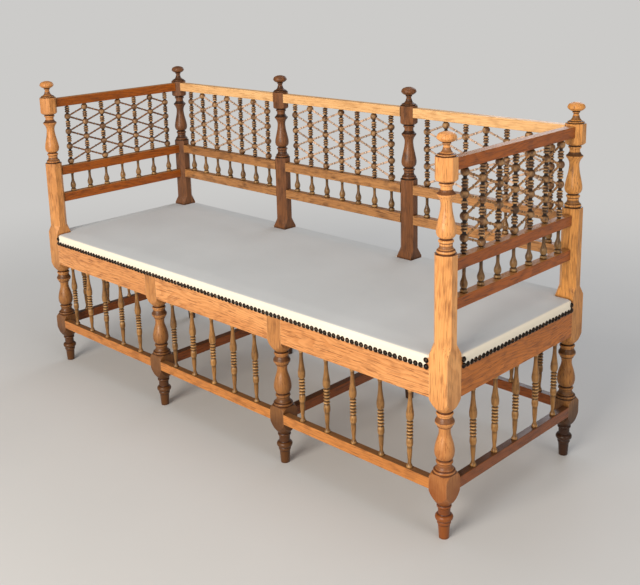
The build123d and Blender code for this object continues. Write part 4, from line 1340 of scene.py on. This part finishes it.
    # ---- nails
    def _nails(self) -> Object:
        """Domed heads set by hand along the rows, with one turned up at each end.

        Returns:
            The finished piece.
        """
        angle = math.atan2(2 * self.nail_radius * self.nail_dome, self.nail_radius ** 2 - self.nail_dome ** 2)
        ball = self.nail_radius / math.sin(angle)
        dome = [(ball * math.sin(angle * t), self.nail_dome - ball * (1 - math.cos(angle * t)))
                for t in (1.0, 0.78, 0.52, 0.24)]
        under = ((self.nail_radius * 0.8, -self.nail_sunk), (self.nail_radius, 0.05 - self.nail_sunk))
        outline = Outline((*under, *dome, (0.2, self.nail_dome)))
        middle = (self.nail_dome - self.nail_sunk) / 2 * MM
        legs = self.plan.legs()
        edge = self.plan.block + self.nail_edge
        lines = []
        bays = [(low, high, 1) for low, high in zip(legs, legs[1:])]
        for low, high, side in ((legs[0], legs[-1], -1), *bays):
            way = Vector((0, side, 0))
            level = Vector((0, side * self.half_y, self.nail_level)) + way * middle
            lines.append((Vector((low + edge, 0, 0)) + level, Vector((high - edge, 0, 0)) + level, way))
        for side in (-1, 1):
            way = Vector((side, 0, 0))
            level = Vector((side * self.half_x, 0, self.nail_level)) + way * middle
            reach = Vector((0, self.plan.leg_y - edge, 0))
            lines.append((level - reach, level + reach, way))
        lift = UP * self.nail_pitch
        turned_up = [(end + lift, end + lift, way) for start, stop, way in lines for end in (start, stop)]
        return TurnedRow("nail_heads", outline, lines + turned_up, BronzeFinish().build(),
                         pitch=self.nail_pitch, segments=10, lean=math.radians(4.0), seed=7).build()


# ---- studio
@dataclass
class Studio:
    """Pale floor, soft lamps and the camera."""

    eye: tuple[float, float, float] = (1.9767, -1.8498, 1.2765)
    yaw: float = 44.521
    pitch: float = -13.704
    roll: float = -1.391
    lens: float = 54.86
    shift_y: float = -0.1445
    backdrop: str = "CCCBC9"
    floor_radius: float = 30.0
    floor_cloud: float = 714.29 * MM
    fade: tuple[float, float] = (0.9, 3.0)      # where the floor turns into the backdrop

    def build(self) -> None:
        """Set floor, world, lamps and camera."""
        self._floor()
        self._world()
        for lamp in (("key", (0.9, -4.6, 2.0), (0.0, 0.0, 0.45), 240.0, 2.4, "FFF4E6"),
                     ("top", (0.3, 0.2, 3.6), (0.0, 0.0, 0.4), 24.0, 3.0, "F4F7FF"),
                     ("side", (4.2, -0.6, 1.9), (0.2, 0.0, 0.5), 32.0, 2.2, "FFF8F0"),
                     ("rear", (-1.0, 4.2, 2.4), (0.0, 0.2, 0.5), 45.0, 2.4, "F2F6FF")):
            self._lamp(*lamp)
        self._camera()
        bpy.context.scene.view_settings.view_transform = "Standard"

    def _floor(self) -> None:
        """A wide pale floor that fades into the backdrop, sunk a hair so that the feet stand on it."""
        shape = bmesh.new()
        bmesh.ops.create_circle(shape, cap_ends=True, segments=96, radius=self.floor_radius)
        made = Surface("pale_floor_paint")
        cloud = made.add("TexNoise", {"Vector": made.place, "Scale": 1 / self.floor_cloud, "Detail": 5.0})
        colour = made.add("Mix", {"Factor": cloud, "A": linear("D0D1D1"), "B": linear("C8C9C9")},
                          data_type="RGBA")
        made.settle({"Base Color": colour, "Roughness": 0.9})
        away = made.add("VectorMath", {0: made.place}, operation="LENGTH").outputs["Value"]
        near, far = self.fade
        fade = made.add("MapRange", {"Value": away, "From Min": near, "From Max": far},
                        interpolation_type="SMOOTHSTEP")
        pale = made.add("Emission", {"Color": linear(self.backdrop), "Strength": 1.0})
        made.fill(made.output, {"Surface": made.add("MixShader", {0: fade, 1: made.shader, 2: pale})})
        floor = finished(meshed(shape, "floor"), "floor", made.material)
        floor.location.z = -0.2 * MM

    def _world(self) -> None:
        """Even soft light from all round, pale to the camera."""
        world = bpy.data.worlds.new("soft_room")
        world.use_nodes = True
        bpy.context.scene.world = world
        made = Bench(world.node_tree)
        made.tree.nodes.clear()
        ray = made.add("LightPath").outputs
        sheen = made.add("MapRange", {"Value": ray["Is Glossy Ray"], "To Min": 0.58, "To Max": 0.22})
        strength = made.add("MapRange", {"Value": ray["Is Camera Ray"], "To Min": sheen, "To Max": 1.0})
        light = made.add("Background", {"Color": linear(self.backdrop), "Strength": strength})
        made.add("OutputWorld", {"Surface": light})

    def _lamp(self, name: str, place: tuple[float, float, float], target: tuple[float, float, float],
              power: float, size: float, colour: str) -> None:
        """Hang a soft square lamp.

        Args:
            name: lamp name.
            place: where it hangs.
            target: the point it faces.
            power: watts.
            size: side in metres.
            colour: hex colour of its light.
        """
        data = bpy.data.lights.new(name, "AREA")
        data.energy, data.size, data.color = power, size, linear(colour)[:3]
        lamp = bpy.data.objects.new(name, data)
        bpy.context.scene.collection.objects.link(lamp)
        lamp.location = place
        lamp.rotation_euler = (Vector(target) - Vector(place)).to_track_quat("-Z", "Y").to_euler()

    def _camera(self) -> None:
        """Camera at a standing viewer's eye, held a little off level."""
        yaw, pitch, roll = (math.radians(a) for a in (self.yaw, self.pitch, self.roll))
        forward = Vector((-math.sin(yaw) * math.cos(pitch), math.cos(yaw) * math.cos(pitch), math.sin(pitch)))
        right = forward.cross(UP).normalized()
        up = right.cross(forward)
        level, tilt = math.cos(roll), math.sin(roll)
        right, up = right * level + up * tilt, up * level - right * tilt
        data = bpy.data.cameras.new("eye")
        data.lens, data.shift_y, data.clip_end = self.lens, self.shift_y, 2 * self.floor_radius
        camera = bpy.data.objects.new("eye", data)
        bpy.context.scene.collection.objects.link(camera)
        turn = Matrix((right, up, -forward)).transposed().to_4x4()
        camera.matrix_world = Matrix.Translation(self.eye) @ turn
        bpy.context.scene.camera = camera


def main() -> None:
    """Dress the frame, make the rows and the upholstery, and set the studio."""
    logging.basicConfig(level=logging.INFO, format="%(name)s: %(message)s")
    plan = Plan()
    for assembly in (TurnedLegs(), SeatFrame(), Stretchers(), GuardRails()):
        assembly.dress()
    for assembly in (Lattice(plan), Balusters(plan), UnderSeatSpindles(plan), Upholstery(plan), Studio()):
        assembly.build()


if __name__ == "__main__":
    main()
